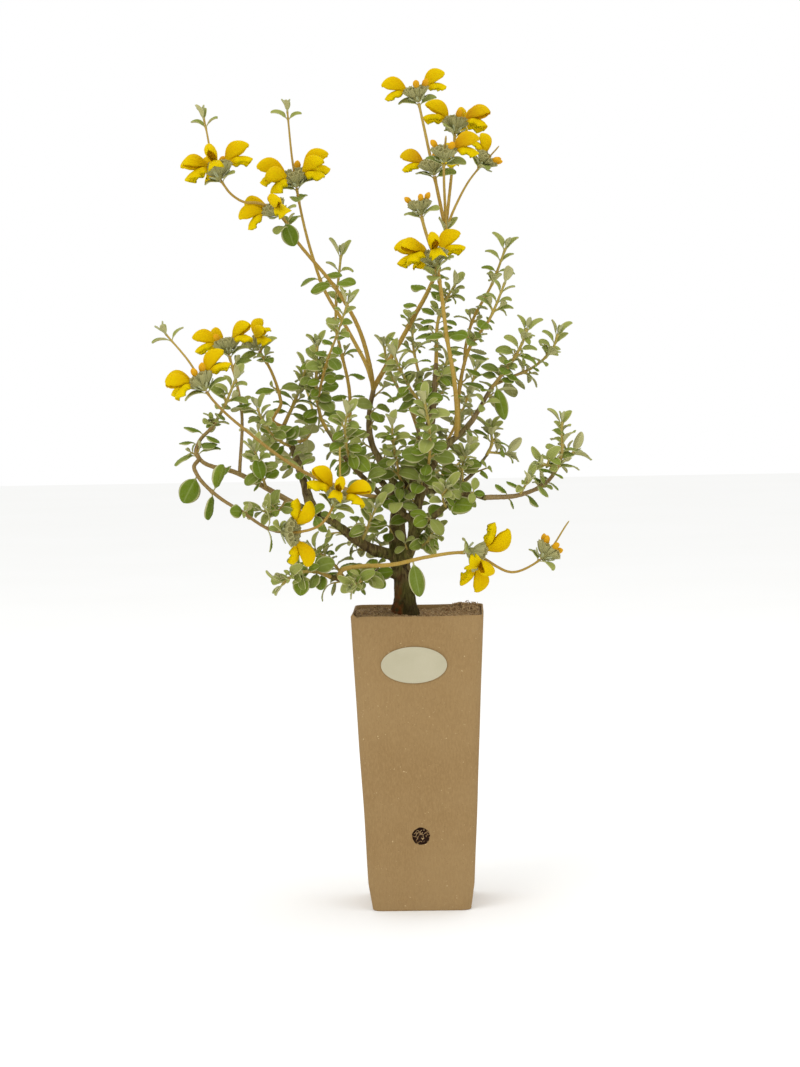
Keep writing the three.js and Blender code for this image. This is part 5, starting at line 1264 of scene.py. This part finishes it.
class Look:
    """A procedural material, with short calls for the nodes that it is made of"""

    def __init__(self, name, roughness, specular, sheen=0.0, sheen_tint="ffffff", sheen_roughness=0.5):
        self.made = bpy.data.materials.new(name)
        self.made.use_nodes = True
        self.tree = self.made.node_tree
        self.shader = self.tree.nodes["Principled BSDF"]
        self.shader.inputs["Roughness"].default_value = roughness
        self.shader.inputs["Specular IOR Level"].default_value = specular
        self.shader.inputs["Sheen Weight"].default_value = sheen
        self.shader.inputs["Sheen Roughness"].default_value = sheen_roughness
        self.shader.inputs["Sheen Tint"].default_value = (*hue(sheen_tint), 1)

    def put(self, kind, values=(), **settings):
        node = self.tree.nodes.new("ShaderNode" + kind)
        for key, value in settings.items():
            setattr(node, key, value)
        for key, value in dict(values).items():
            if hasattr(value, "links"):
                self.tree.links.new(value, node.inputs[key])
            else:
                node.inputs[key].default_value = value
        return node

    def attribute(self, name):
        split = self.put("SeparateXYZ", {0: self.put("Attribute", attribute_name=name).outputs["Vector"]})
        return split.outputs[0], split.outputs[1], split.outputs[2]

    def place_of(self, axis):
        """How far a point is along an axis of the piece, in metres"""
        return self.put("SeparateXYZ", {0: self.put("TexCoord").outputs["Object"]}).outputs[axis]

    def maths(self, operation, a, b=0.0):
        return self.put("Math", {0: a, 1: b}, operation=operation).outputs[0]

    def fit(self, value, low, high, to_low=0.0, to_high=1.0):
        return self.put("MapRange", {"Value": value, "From Min": low, "From Max": high, "To Min": to_low,
                                     "To Max": to_high}).outputs["Result"]

    def blend(self, part, a, b):
        """Goes from colour a to colour b by a part, or by (part, share) to go a share of the way"""
        if isinstance(part, tuple):
            part = self.maths("MULTIPLY", *part)
        a, b = ((*hue(value), 1) if isinstance(value, str) else value for value in (a, b))
        return self.put("Mix", {0: part, 6: a, 7: b}, data_type="RGBA").outputs[2]

    def noise(self, scale, detail, roughness=0.55, stretch=(1, 1, 1), distortion=0.0):
        place = self.put("TexCoord").outputs["Object"]
        if stretch != (1, 1, 1):
            place = self.put("Mapping", {"Vector": place, "Scale": stretch}).outputs[0]
        return self.put("TexNoise", {"Vector": place, "Scale": scale, "Detail": detail,
                                     "Roughness": roughness, "Distortion": distortion}).outputs["Fac"]

    def colour(self, value):
        self.tree.links.new(value, self.shader.inputs["Base Color"])

    def bump(self, height, distance, strength=1.0):
        node = self.put("Bump", {"Height": height, "Distance": distance, "Strength": strength})
        self.tree.links.new(node.outputs[0], self.shader.inputs["Normal"])


def hue(code):
    """A colour from its six-digit screen code, as the shader's linear red, green and blue"""
    made = []
    for i in (0, 2, 4):
        value = int(code[i:i + 2], 16) / 255
        made.append(value / 12.92 if value <= 0.04045 else ((value + 0.055) / 1.055) ** 2.4)
    return tuple(made)


def leaf_look():
    """Downy grey-green when young, green when old; pale veins, a white woolly rim, a pale underside"""
    look = Look("leaf", 0.85, 0.08, sheen=0.05, sheen_tint="e4e6a8")
    share, across, top = look.attribute("mark")
    age, chance, wool = look.attribute("tint")
    young = look.blend(chance, "90954a", "a5a860")
    grown = look.blend(chance, "4b6206", "6c7c1c")
    ripe = look.fit(look.maths("ADD", age, look.fit(chance, 0.2, 0.8, -0.35, 0.3)), 0.1, 0.8)
    face = look.blend(ripe, young, grown)
    mottle = look.fit(look.noise(420, 4), 0.35, 0.7)
    face = look.blend((mottle, 0.22), face, look.blend(0.4, face, "a9b584"))
    reach = look.maths("ABSOLUTE", across)
    midrib = look.fit(reach, 0.03, 0.12, 1, 0)
    slant = look.maths("SUBTRACT", share, look.maths("MULTIPLY", reach, 0.1))
    wave = look.maths("ABSOLUTE", look.maths("SINE", look.maths("MULTIPLY", slant, 42)))
    veins = look.maths("MULTIPLY", look.fit(wave, 0.0, 0.3, 1, 0), 0.4)
    lines = look.maths("MAXIMUM", midrib, veins)
    face = look.blend((lines, 0.25), face, "a3ab70")
    rim = look.fit(reach, 0.78, 0.93)
    face = look.blend((rim, 0.85), face, "c4c08e")
    stalk = look.fit(share, 0.1, 0.2, 1, 0)
    face = look.blend((stalk, 0.8), face, "b3ad7c")
    under = look.blend(look.fit(age, 0, 1), "b0ad78", "9f9f64")
    under = look.blend((lines, 0.5), under, "c4c192")
    is_top = look.fit(top, -0.3, 0.3)
    shade = look.blend(is_top, under, face)
    shade = look.blend((wool, 0.85), shade, "a8ad86")
    look.colour(shade)
    fuzz = look.noise(2600, 3)
    height = look.maths("SUBTRACT", fuzz, look.maths("MULTIPLY", lines, 0.8))
    look.bump(height, 0.0002, 0.7)
    return look.made


def stem_look():
    """Golden tan wool, greener and paler towards a shoot's tip, with fine lengthwise hairs"""
    look = Look("stem", 0.85, 0.08, sheen=0.12, sheen_tint="efd88e", sheen_roughness=0.45)
    old = look.attribute("mark")[2]
    shade, chance, woody = look.attribute("tint")
    tan = look.blend(chance, "9b7a2c", "ac8e3c")
    green = look.blend(chance, "9a9448", "a59e54")
    base = look.blend(look.fit(old, 0.1, 0.9), green, tan)
    base = look.blend(shade, base, tan)
    wood = look.maths("MULTIPLY", look.fit(old, 0.25, 0.7), woody)
    base = look.blend(wood, base, look.blend(chance, "6f5a3a", "7f6a48"))
    brown = look.fit(look.noise(90, 2), 0.45, 0.75)
    base = look.blend((brown, 0.35), base, "8d6a34")
    fuzz = look.noise(1500, 4, stretch=(1, 1, 0.45))
    base = look.blend(look.fit(fuzz, 0.4, 0.7, 0, 0.8), base, look.blend(0.35, base, "cfbd88"))
    look.colour(base)
    look.bump(fuzz, 0.0004, 0.8)
    return look.made


def calyx_look():
    """Grey-green wool with pale ribs and teeth, browner inside the mouth"""
    look = Look("calyx", 0.85, 0.08, sheen=0.08, sheen_tint="e9ecb4")
    share, rib, inside = look.attribute("mark")
    base = look.blend(look.attribute("tint")[1], "858348", "96925a")
    tip = look.fit(share, 0.75, 1.15)
    base = look.blend((tip, 0.6), base, "bcb47a")
    base = look.blend((rib, 0.45), base, "bcb98c")
    fuzz = look.noise(1900, 3)
    base = look.blend(look.fit(fuzz, 0.42, 0.75, 0, 0.6), base, look.blend(0.35, base, "ccc99c"))
    base = look.blend((inside, 0.8), base, "8a8350")
    look.colour(base)
    look.bump(fuzz, 0.0004, 0.8)
    return look.made


def petal_look():
    """Velvety yellow: a golden hood whose inside is painted lighter against its shade, a lemon lip, an orange
    throat, and orange woolly buds
    """
    look = Look("petal", 0.75, 0.04)
    look.shader.inputs["Subsurface Weight"].default_value = 0.3
    look.shader.inputs["Subsurface Scale"].default_value = 0.002
    look.shader.inputs["Subsurface Radius"].default_value = (1.0, 0.8, 0.1)
    share, across, inside = look.attribute("mark")
    kind, chance, wilted = look.attribute("tint")
    hood = look.blend(look.fit(share, 0.1, 0.9), "c69a00", "d2b200")
    flank = look.fit(look.maths("ABSOLUTE", across), 0.1, 0.6)
    hood = look.blend((flank, 0.5), hood, "d2b400")
    # Painted light: the hood's inner surface is lightened to offset the shade that falls inside the hood
    hood = look.blend((inside, 0.8), hood, "e6bc00")
    lip = look.blend(look.fit(share, 0.05, 0.36), "c59400", "d2b800")
    veins = look.noise(700, 3)
    lip = look.blend(look.fit(veins, 0.35, 0.7, 0, 0.35), lip, "c6a800")
    bud = look.blend(look.fit(share, -0.2, 0.9), "b98a1c", "cf9a1e")
    is_lip = look.fit(look.maths("ABSOLUTE", look.maths("SUBTRACT", kind, 1)), 0.2, 0.6, 1, 0)
    is_bud = look.fit(kind, 1.4, 1.8)
    shade = look.blend(is_lip, hood, lip)
    shade = look.blend(is_bud, shade, bud)
    shade = look.blend(look.fit(chance, 0, 1, 0, 0.15), shade, "cc9900")
    worn = look.maths("MULTIPLY", wilted, look.fit(share, 0.15, 0.75, 0.7, 0.2))
    shade = look.blend(worn, shade, "b57816")
    look.colour(shade)
    fuzz = look.noise(1700, 3)
    look.bump(fuzz, 0.0002, 0.6)
    return look.made


def bark_look():
    """Flaky bark: dark brown under olive moss, a red-brown patch at the foot, grey-tan on the thin limbs"""
    look = Look("bark", 0.95, 0.12)
    grain = look.noise(420, 6, 0.7, (1, 1, 0.22), 0.8)
    coarse = look.noise(150, 4, 0.6, (1, 1, 0.3))
    patch = look.noise(75, 3)
    dark = look.blend(look.fit(coarse, 0.35, 0.62), "2b1f12", "5b4a2b")
    base = look.blend(look.fit(grain, 0.4, 0.68), dark, "8a7a4c")
    moss = look.blend(look.fit(grain, 0.35, 0.65), "3b3b12", "7c7c3c")
    base = look.blend(look.fit(patch, 0.46, 0.6, 0, 0.85), base, moss)
    across, height = look.place_of(0), look.place_of(2)
    low = look.fit(height, 0.205, 0.228, 1, 0)
    ragged_edge = look.maths("ADD", across, look.fit(coarse, 0.3, 0.7, -0.002, 0.002))
    left = look.fit(ragged_edge, -0.0115, -0.0085, 1, 0)
    foot = look.fit(height, 0.2, 0.235, 0.75, 0)
    base = look.blend(foot, base, "2a1c0e")
    ragged = look.fit(look.noise(230, 3), 0.42, 0.58)
    red = look.maths("MULTIPLY", look.maths("MULTIPLY", low, left), ragged)
    base = look.blend((red, 0.8), base, "74401c")
    high = look.fit(height, 0.262, 0.34)
    thin = look.blend(look.fit(grain, 0.35, 0.7), "6e5a3a", "a08a62")
    base = look.blend((high, 0.7), base, thin)
    look.colour(base)
    look.bump(grain, 0.0015, 1.0)
    return look.made


def card_look():
    """Brown kraft board: a fine flecked fibre and faint clouds"""
    look = Look("card", 0.86, 0.2)
    cloud = look.noise(14, 3)
    fibre = look.noise(900, 5, 0.7, (1, 1, 0.35))
    speck = look.noise(1500, 2, 0.5)
    base = look.blend(look.fit(cloud, 0.35, 0.65), "8e724a", "967b53")
    base = look.blend(look.fit(fibre, 0.42, 0.7, 0, 0.5), base, "a4885c")
    base = look.blend(look.fit(speck, 0.66, 0.74, 0, 0.6), base, "6f5330")
    base = look.blend(look.fit(look.noise(500, 2), 0.70, 0.76, 0, 0.7), base, "c9b184")
    look.colour(base)
    look.bump(fibre, 0.00015, 0.6)
    return look.made


def label_look():
    look = Look("label_paper", 0.62, 0.3)
    cloud = look.noise(60, 3)
    fibre = look.noise(2200, 3)
    base = look.blend(look.fit(cloud, 0.3, 0.7), "b2ab90", "b8b197")
    base = look.blend(look.fit(fibre, 0.5, 0.72, 0, 0.25), base, "a69f82")
    look.colour(base)
    look.bump(fibre, 0.00005, 0.4)
    return look.made


def soil_look():
    """Moist compost: dark crumbs and pale coir fibres, with painted shade that darkens it lower down in the
    pot
    """
    look = Look("compost", 0.95, 0.15)
    crumb = look.noise(420, 6, 0.7)
    fleck = look.noise(1100, 3)
    base = look.blend(look.fit(crumb, 0.35, 0.65), "6a5033", "a2845b")
    base = look.blend(look.fit(fleck, 0.5, 0.66, 0, 0.85), base, "c6ab80")
    # Painted shade: darker where the compost lies lower in the pot, in its dips, down the gap at the wall and
    # behind the drain hole
    base = look.blend(look.fit(look.place_of(2), 0.18, 0.195, 1, 0), base, "2c1a10")
    look.colour(base)
    look.bump(crumb, 0.0015, 1.0)
    return look.made


def fibre_look():
    look = Look("fibre", 0.85, 0.2)
    tone = look.noise(300, 3)
    look.colour(look.blend(look.fit(tone, 0.35, 0.65), "7d5c38", "c2a67a"))
    return look.made


def floor_look():
    look = Look("floor", 0.9, 0.0)
    look.colour(look.blend(look.noise(3, 2), "f6f6f4", "f9f9f8"))
    return look.made


def settled(piece, slot, *nodes):
    """Rides with the part and stands for the solids that it replaces; its slot is not used"""
    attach(piece, "root")
    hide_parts(*nodes)


# Leafy stems: the solids' own stems and large leaves first, then the small shoots that fill the crown
plant_looks = [stem_look(), leaf_look(), calyx_look(), petal_look()]
bodies = {}
for index, node in enumerate(stem_nodes):
    body = Body()
    bodies[node["name"]] = body
    for part in node["parts"]:
        shade = 0.35 if part["ends"] else 0.9
        dress_part(body, node["name"], part, shade, drawer(SEEDS["stem"] + part["seed"]))
    for blade in node["large"]:
        add_leaf(body, blade, FINE_LEAF, drawer(SEEDS["large"] + index), blade["shift"])

# Flower whorls: each of those named here has one hood that has begun to wilt and turn brown
WILTED = {"whorl_01": 0, "whorl_03": 0, "whorl_04": 1}
for name, rank in WILTED.items():
    open_ones = [floret for part in whorl_parts if part["name"] == name for floret in part["florets"]
                 if floret["kind"] == "open"]
    open_ones[rank]["wilted"] = 1

for index, part in enumerate(whorl_parts):
    body = Body()
    bodies[part["name"]] = body
    draw = drawer(SEEDS["whorl"] + index)
    part["tipped"] = part["tuft"]
    if part["end"] - part["at"] > WHORL["stub"]:
        dress_part(body, part["name"], part, 0.8, draw)
    else:
        part["joints"] = []
        part["ends"] = True
        add_stem(body, part, 0.9, draw)
    add_core(body, part, draw)
    add_bristles(body, part, draw)
    place = part["stem"].place(part["at"])
    add_extra_tubes(body, part, draw)
    for floret in part["florets"]:
        add_calyx(body, floret, place, draw)
        if floret["kind"] == "open":
            add_hood(body, floret, draw)
            add_lip(body, floret, draw)
        if floret["kind"] == "bud":
            add_bud(body, floret, draw)

for node in stem_nodes:
    for part in node["parts"]:
        dress_axils(bodies[node["name"]], node["name"], part, drawer(SEEDS["axil"] + part["seed"]))

# Spurs are small leafy shoots that stand on the wood. They start higher up the trunk than out on the limbs,
# and are a little smaller there.
SPUR_STEP = 11.0
SPUR_START = dict(trunk=62.0, limb=14.0)
SPUR_SIZE = dict(trunk=1.05, limb=1.25)
BARE_END = 6.0
spurs = Body()
spur_draw = drawer(SEEDS["spur"])
for name, stem in lines.items():
    kind = "trunk" if name == "trunk" else "limb"
    at = SPUR_START[kind]
    while at < stem.length - BARE_END:
        place = stem.place(at)
        out = around(place["along"], spur_draw(0, 360))
        sprig("wood", spurs, place, out, spur_draw(3, 8) + place["radius"], 2,
              spur_draw(7, 12) * SPUR_SIZE[kind], spur_draw(0.2, 0.8), stem.shift(at), spur_draw)
        at += SPUR_STEP * spur_draw(0.7, 1.3)

for name, body in bodies.items():
    piece = body.made(name + "_fine", plant_looks)
    settled(piece, "flower" if name.startswith("whorl") else "leaf", name)
spur_piece = spurs.made("spurs", plant_looks)
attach(spur_piece, "root")


# Wood: tubes merged into one skin, then roughened into flaky bark, some points at a time
VOXEL = 0.7
BLOCK = 4000


def wood_piece():
    body = Body()
    centres, reaches = [], []
    for name, stem in lines.items():
        count = int(stem.length / 1.6)
        at = np.linspace(0, stem.length, count)
        points = stem.smooth(at)
        radii = np.interp(at, stem.run, stem.radius)
        if name == "trunk":
            radii = radii * (1 + 0.22 * np.exp(-((at - 10) / 9) ** 2) + 0.05 * np.sin(at / 7.0))
        else:
            radii = radii * (1 + 0.35 * np.exp(-(at / 6) ** 2) + 0.06 * np.sin(at / 4.0 + len(name)))
        rings, slope = rings_along(points, stem.sides[0], radii, 14)
        body.plain_skin(rings, points[0] - slope[0], points[-1] + slope[-1] * radii[-1])
        centres.append(points)
        reaches.append(radii)
    rough = body.made("wood_tubes", [])
    merge = rough.modifiers.new("merge", "REMESH")
    merge.mode = "VOXEL"
    merge.voxel_size = VOXEL * MM
    merge.use_smooth_shade = True
    merged = bpy.data.meshes.new_from_object(rough.evaluated_get(bpy.context.evaluated_depsgraph_get()))
    bpy.data.objects.remove(rough)
    count = len(merged.vertices)
    place, normal = np.zeros(count * 3, np.float32), np.zeros(count * 3, np.float32)
    merged.vertices.foreach_get("co", place)
    merged.vertices.foreach_get("normal", normal)
    place, normal = place.reshape(-1, 3) / MM, normal.reshape(-1, 3)
    centres, reaches = np.concatenate(centres), np.concatenate(reaches)
    lift = np.zeros(count)
    for start in range(0, count, BLOCK):
        block = place[start:start + BLOCK]
        nearest = ((block[:, None, :] - centres[None]) ** 2).sum(-1).argmin(1)
        thick = reaches[nearest]
        for i, (x, y, z) in enumerate(block):
            grain = noise.fractal(Vector((x * 0.55, y * 0.55, z * 0.16)), 0.9, 2.1, 5)
            knob = noise.noise(Vector((x * 0.2, y * 0.2, z * 0.12 + 7)))
            lift[start + i] = thick[i] * (0.1 * grain + 0.09 * knob)
    place = place + normal * lift[:, None]
    merged.vertices.foreach_set("co", (place * MM).astype(np.float32).ravel())
    merged.polygons.foreach_set("use_smooth", np.ones(len(merged.polygons), bool))
    merged.materials.append(bark_look())
    merged.update()
    merged.name = "wood_fine"
    settled(linked("wood_fine", merged), "bark", "wood")


wood_piece()


# Pot: a square sleeve of kraft board with rounded upright edges, tucked in at the foot of its side panels
def inset_at(z):
    return (POT["top"] + (POT["base"] - POT["top"]) * (1 - z / POT["height"])) / 2


CORNER_STEPS = 6
SIDE_STEPS = 20
# The pot's rim is wavy from this height up, and its edge is worn round above the next one
RIM = dict(wavy=190.0, edge=199.4, worn=0.35)


def square_ring(half, corner):
    """Points round a square with rounded corners, starting at the foot of its first corner"""
    ring = []
    flat = half - corner
    for x, y, start, after in ((1, 1, 0, (-flat, half)), (-1, 1, 90, (-half, -flat)),
                               (-1, -1, 180, (flat, -half)), (1, -1, 270, (half, flat))):
        for k in range(CORNER_STEPS + 1):
            angle = (start + 90 * k / CORNER_STEPS) * RAD
            ring.append((x * flat + corner * math.cos(angle), y * flat + corner * math.sin(angle)))
        ring += np.linspace(ring[-1], after, SIDE_STEPS, endpoint=False)[1:].tolist()
    return np.array(ring)


def tucked(ring, z):
    moved = ring.copy()
    moved[:, 0] -= np.sign(moved[:, 0]) * POT["tuck"] * max(0, 1 - z / POT["tuck_height"])
    return moved


def rim_height(ring):
    """The rim dips and rises a little, with a torn sliver that stands up at its left front corner"""
    x, y = ring[:, 0], ring[:, 1]
    wave = -0.35 + 0.3 * np.sin(x / 13 + 1) * np.cos(y / 17)
    sliver = 2.0 * np.exp(-(((x + 43.5) ** 2 + (y + 42) ** 2) / 5))
    tear = -1.3 * np.exp(-(((x + 40) ** 2 + (y + 44.4) ** 2) / 2.2))
    return wave + sliver + tear


def above(z, start):
    """How far a height is on the way from a start to the top of the pot, from 0 to 1"""
    return max(0, (z - start) / (POT["height"] - start))


def with_rim(ring, z):
    return np.column_stack([ring, z + rim_height(ring) * above(z, RIM["wavy"])])


def pot_piece():
    rings = []
    outer_heights = [0, 0.6, 2, 5, 9, 13, 16, 18, 20, 24] + list(np.linspace(30, 196, 34)) + [198, 199.4, 200]
    for z in outer_heights:
        edge = 0.5 * max(0, 1 - z / 0.6) + RIM["worn"] * above(z, RIM["edge"])
        ring = tucked(square_ring(inset_at(z) - edge, POT["corner"]), z)
        swell = [0.28 * noise.noise(Vector((x * 0.03, y * 0.03, z * 0.022))) - 0.12 for x, y in ring]
        rings.append(with_rim(ring * (1 + np.array(swell)[:, None] / inset_at(z)), z))
    for z in [200, 199.4, 197, 192, 180, 150, 110, 70, 40, 18, 6, POT["wall"]]:
        edge = RIM["worn"] * above(z, RIM["edge"])
        ring = square_ring(inset_at(z) - POT["wall"] + edge, POT["corner"] - 0.8)
        rings.append(with_rim(tucked(ring, z), z))
    body = Body()
    body.plain_skin(np.array(rings), (0, 0, 0), (0, 0, POT["wall"]))
    rough = body.made("pot_blank", [card_look()])
    drill = Body()
    count = 48
    angle = np.linspace(0, TURN, count, endpoint=False)
    ragged = DRAIN["radius"] + 0.12 * np.sin(angle * 5) + 0.08 * np.sin(angle * 11 + 1)
    ends = []
    for y in (-inset_at(DRAIN["up"]) + 7, -inset_at(DRAIN["up"]) - 7):
        ends.append(np.column_stack([DRAIN["across"] + ragged * np.cos(angle), np.full(count, y),
                                     DRAIN["up"] + ragged * np.sin(angle)]))
    ends = np.array(ends)
    drill.plain_skin(ends, ends[0].mean(0), ends[1].mean(0))
    cutter = drill.made("pot_drill", [])
    cut = rough.modifiers.new("hole", "BOOLEAN")
    cut.operation = "DIFFERENCE"
    cut.solver = "EXACT"
    cut.object = cutter
    mesh = bpy.data.meshes.new_from_object(rough.evaluated_get(bpy.context.evaluated_depsgraph_get()))
    bpy.data.objects.remove(rough)
    bpy.data.objects.remove(cutter)
    mesh.name = "pot_fine"
    piece = linked("pot_fine", mesh)
    smooth_but_sharp(mesh, 35)
    settled(piece, "card", "pot")


def smooth_but_sharp(mesh, degrees):
    """Smooth faces, with an edge kept sharp where it bends by more than an angle"""
    mesh.polygons.foreach_set("use_smooth", np.ones(len(mesh.polygons), bool))
    mesh.set_sharp_from_angle(angle=degrees * RAD)


pot_piece()


def label_piece():
    """The label is bare: a cream paper oval with a softly rounded edge, flat against the front panel"""
    tilt = math.atan2(inset_at(POT["height"]) - inset_at(0), POT["height"])
    out = np.array([0, -math.cos(tilt), -math.sin(tilt)])
    up = np.array([0, -math.sin(tilt), math.cos(tilt)])
    side = np.array([1.0, 0, 0])
    centre = np.array([LABEL["across"], -inset_at(LABEL["up"]) - GAP - LABEL["thick"] / 2, LABEL["up"]])
    angle = np.linspace(0, TURN, 96, endpoint=False)
    rings = []
    for share, rise in ((0.2, -0.25), (0.7, -0.25), (0.99, -0.25), (1.0, -0.12), (1.0, 0.12), (0.993, 0.22),
                        (0.975, 0.25), (0.8, 0.27), (0.5, 0.26), (0.2, 0.27)):
        ring = centre + side * (np.cos(angle) * LABEL["width"] / 2 * share)[:, None]
        ring = ring + up * (np.sin(angle) * LABEL["height"] / 2 * share)[:, None] + out * rise
        rings.append(ring)
    body = Body()
    body.plain_skin(np.array(rings), centre - out * 0.25, centre + out * 0.26)
    settled(body.made("label_fine", [label_look()]), "label", "label")


label_piece()

# Soil: low mounds, each at a place across and back, with its height and how wide it spreads
MOUNDS = ((-30, 6, 5, 13), (30, 30, 3.5, 12), (18, 8, -2.5, 14), (-12, -30, 1.5, 12))


def soil_height(x, y):
    rise = sum(high * math.exp(-((x - at_x) ** 2 + (y - at_y) ** 2) / (2 * wide ** 2))
               for at_x, at_y, high, wide in MOUNDS)
    crumbs = 1.5 * noise.fractal(Vector((x * 0.22, y * 0.22, 3)), 0.8, 2.0, 5)
    return SOIL_TOP + rise + crumbs


def soil_piece():
    def shell(z):
        return tucked(square_ring(inset_at(z) - POT["wall"] - GAP, POT["corner"] - 1), z)

    rings = []
    for z in (POT["wall"] + GAP, 6, 18, 35, 42, 46, 49, 52, 55, 60, 66, 100, 150, 185):
        ring = shell(z)
        rough = [0.5 * noise.noise(Vector((x * 0.5, y * 0.5, z * 0.5))) - 0.3 for x, y in ring]
        ring = ring * (1 + np.array(rough)[:, None] / 40)
        rings.append(np.column_stack([ring, np.full(len(ring), z)]))
    edge = shell(SOIL_TOP)
    for share in np.linspace(1, 0.04, 46):
        ring = edge * share
        rings.append(np.column_stack([ring, [soil_height(x, y) for x, y in ring]]))
    body = Body()
    body.plain_skin(np.array(rings), (0, 0, POT["wall"] + GAP), (0, 0, soil_height(0, 0)))
    settled(body.made("soil_fine", [soil_look()]), "soil", "soil")


soil_piece()


# Coir: the clump's place across and back, how far it spreads and its height, then how many fibres lie where
CLUMP = dict(at=35.0, wide=9.0, high=3.0)
FIBRES = dict(loose=200, at_hole=30, in_clump=100)
FIBRE_POINTS = 7


def clump_height(x, y):
    reach = (x - CLUMP["at"]) ** 2 + (y - CLUMP["at"]) ** 2
    return CLUMP["high"] * math.exp(-reach / (2 * CLUMP["wide"] ** 2))


def fibres_piece():
    """Loose coir fibres and rootlets on the compost, in a clump in one corner, and behind the drain hole"""
    body = Body()
    draw = drawer(SEEDS["fibre"])
    for i in range(sum(FIBRES.values())):
        in_clump = i >= FIBRES["loose"] + FIBRES["at_hole"]
        at_hole = i >= FIBRES["loose"] and not in_clump
        heaped = draw(0, 1) if in_clump else 0
        if at_hole:
            x, z = DRAIN["across"] + draw(-6, 6), DRAIN["up"] + draw(-6, 6)
            point = np.array([x, -inset_at(z) + POT["wall"] + 0.5, z])
        else:
            x, y = (draw(20, 40), draw(20, 40)) if in_clump else (draw(-39, 39), draw(-39, 39))
            point = np.array([x, y, soil_height(x, y) + 0.2 + heaped * clump_height(x, y)])
        heading = draw(0, TURN)
        curl = draw(-0.5, 0.5)
        step = draw(0.8, 1.6) * (0.5 if at_hole else 1)
        centres = []
        for k in range(FIBRE_POINTS):
            centres.append(point.copy())
            heading += curl + draw(-0.25, 0.25)
            if at_hole:
                point = point + np.array([math.cos(heading) * step, 0.05, math.sin(heading) * step])
            else:
                point = point + np.array([math.cos(heading) * step, math.sin(heading) * step, 0])
                point[:2] = np.clip(point[:2], -40.5, 40.5)
                point[2] = soil_height(point[0], point[1]) + 0.25 + 0.5 * math.sin(k * 0.9 + i)
                point[2] += heaped * clump_height(point[0], point[1])
        centres = np.array(centres)
        if np.linalg.norm(centres[-1] - centres[0]) < 1:
            continue
        radii = np.full(FIBRE_POINTS, draw(0.14, 0.3))
        rings, slope = rings_along(centres, (0.1, 0.2, 1.0), radii, 5)
        body.plain_skin(rings, centres[0] - slope[0] * 0.2, centres[-1] + slope[-1] * 0.2)
    piece = body.made("coir_fibres", [fibre_look()])
    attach(piece, "root")


fibres_piece()


# Floor, light and camera
def floor_sheet():
    mesh = bpy.data.meshes.new("floor")
    reach = 6.0
    corners = [(x * reach, y * reach, 0) for x, y in ((-1, -1), (1, -1), (1, 1), (-1, 1))]
    mesh.from_pydata(corners, [], [(0, 1, 2, 3)])
    mesh.materials.append(floor_look())
    sheet = linked("floor", mesh)


floor_sheet()


def soft_light(name, place, aim, size, power):
    lamp = bpy.data.lights.new(name, "AREA")
    lamp.size = size
    lamp.energy = power
    holder = linked(name, lamp)
    holder.location = place
    holder.rotation_mode = "QUATERNION"
    holder.rotation_quaternion = (Vector(aim) - Vector(place)).to_track_quat("-Z", "Y")


soft_light("key", (-1.1, -1.7, 1.9), (0, 0, 0.3), 1.4, 15)
soft_light("fill", (1.5, -1.3, 0.9), (0, 0, 0.25), 1.2, 4)
soft_light("top", (0.1, 0.5, 1.9), (0, 0, 0.35), 1.3, 5)
bpy.context.scene.view_settings.view_transform = "Standard"

world = bpy.data.worlds.new("studio")
world.use_nodes = True
sky = world.node_tree.nodes["Background"]
sky.inputs["Color"].default_value = (1, 1, 1, 1)
sky.inputs["Strength"].default_value = 1.0
bpy.context.scene.world = world

camera = bpy.data.cameras.new("front")
camera.sensor_fit = "AUTO"
camera.sensor_width = 36
camera.lens = camera.sensor_width * VIEW["focal"] / VIEW_SIZE[1]
camera.clip_start, camera.clip_end = 0.05, 30
eye = linked("front", camera)
across = plus(times(RIGHT, math.cos(ROLL)), ABOVE, -math.sin(ROLL))
upward = plus(times(RIGHT, math.sin(ROLL)), ABOVE, math.cos(ROLL))
turn = Matrix((across, upward, times(FORWARD, -1))).transposed()
eye.matrix_world = Matrix.Translation(Vector(EYE) * MM) @ turn.to_4x4()
bpy.context.scene.camera = eye
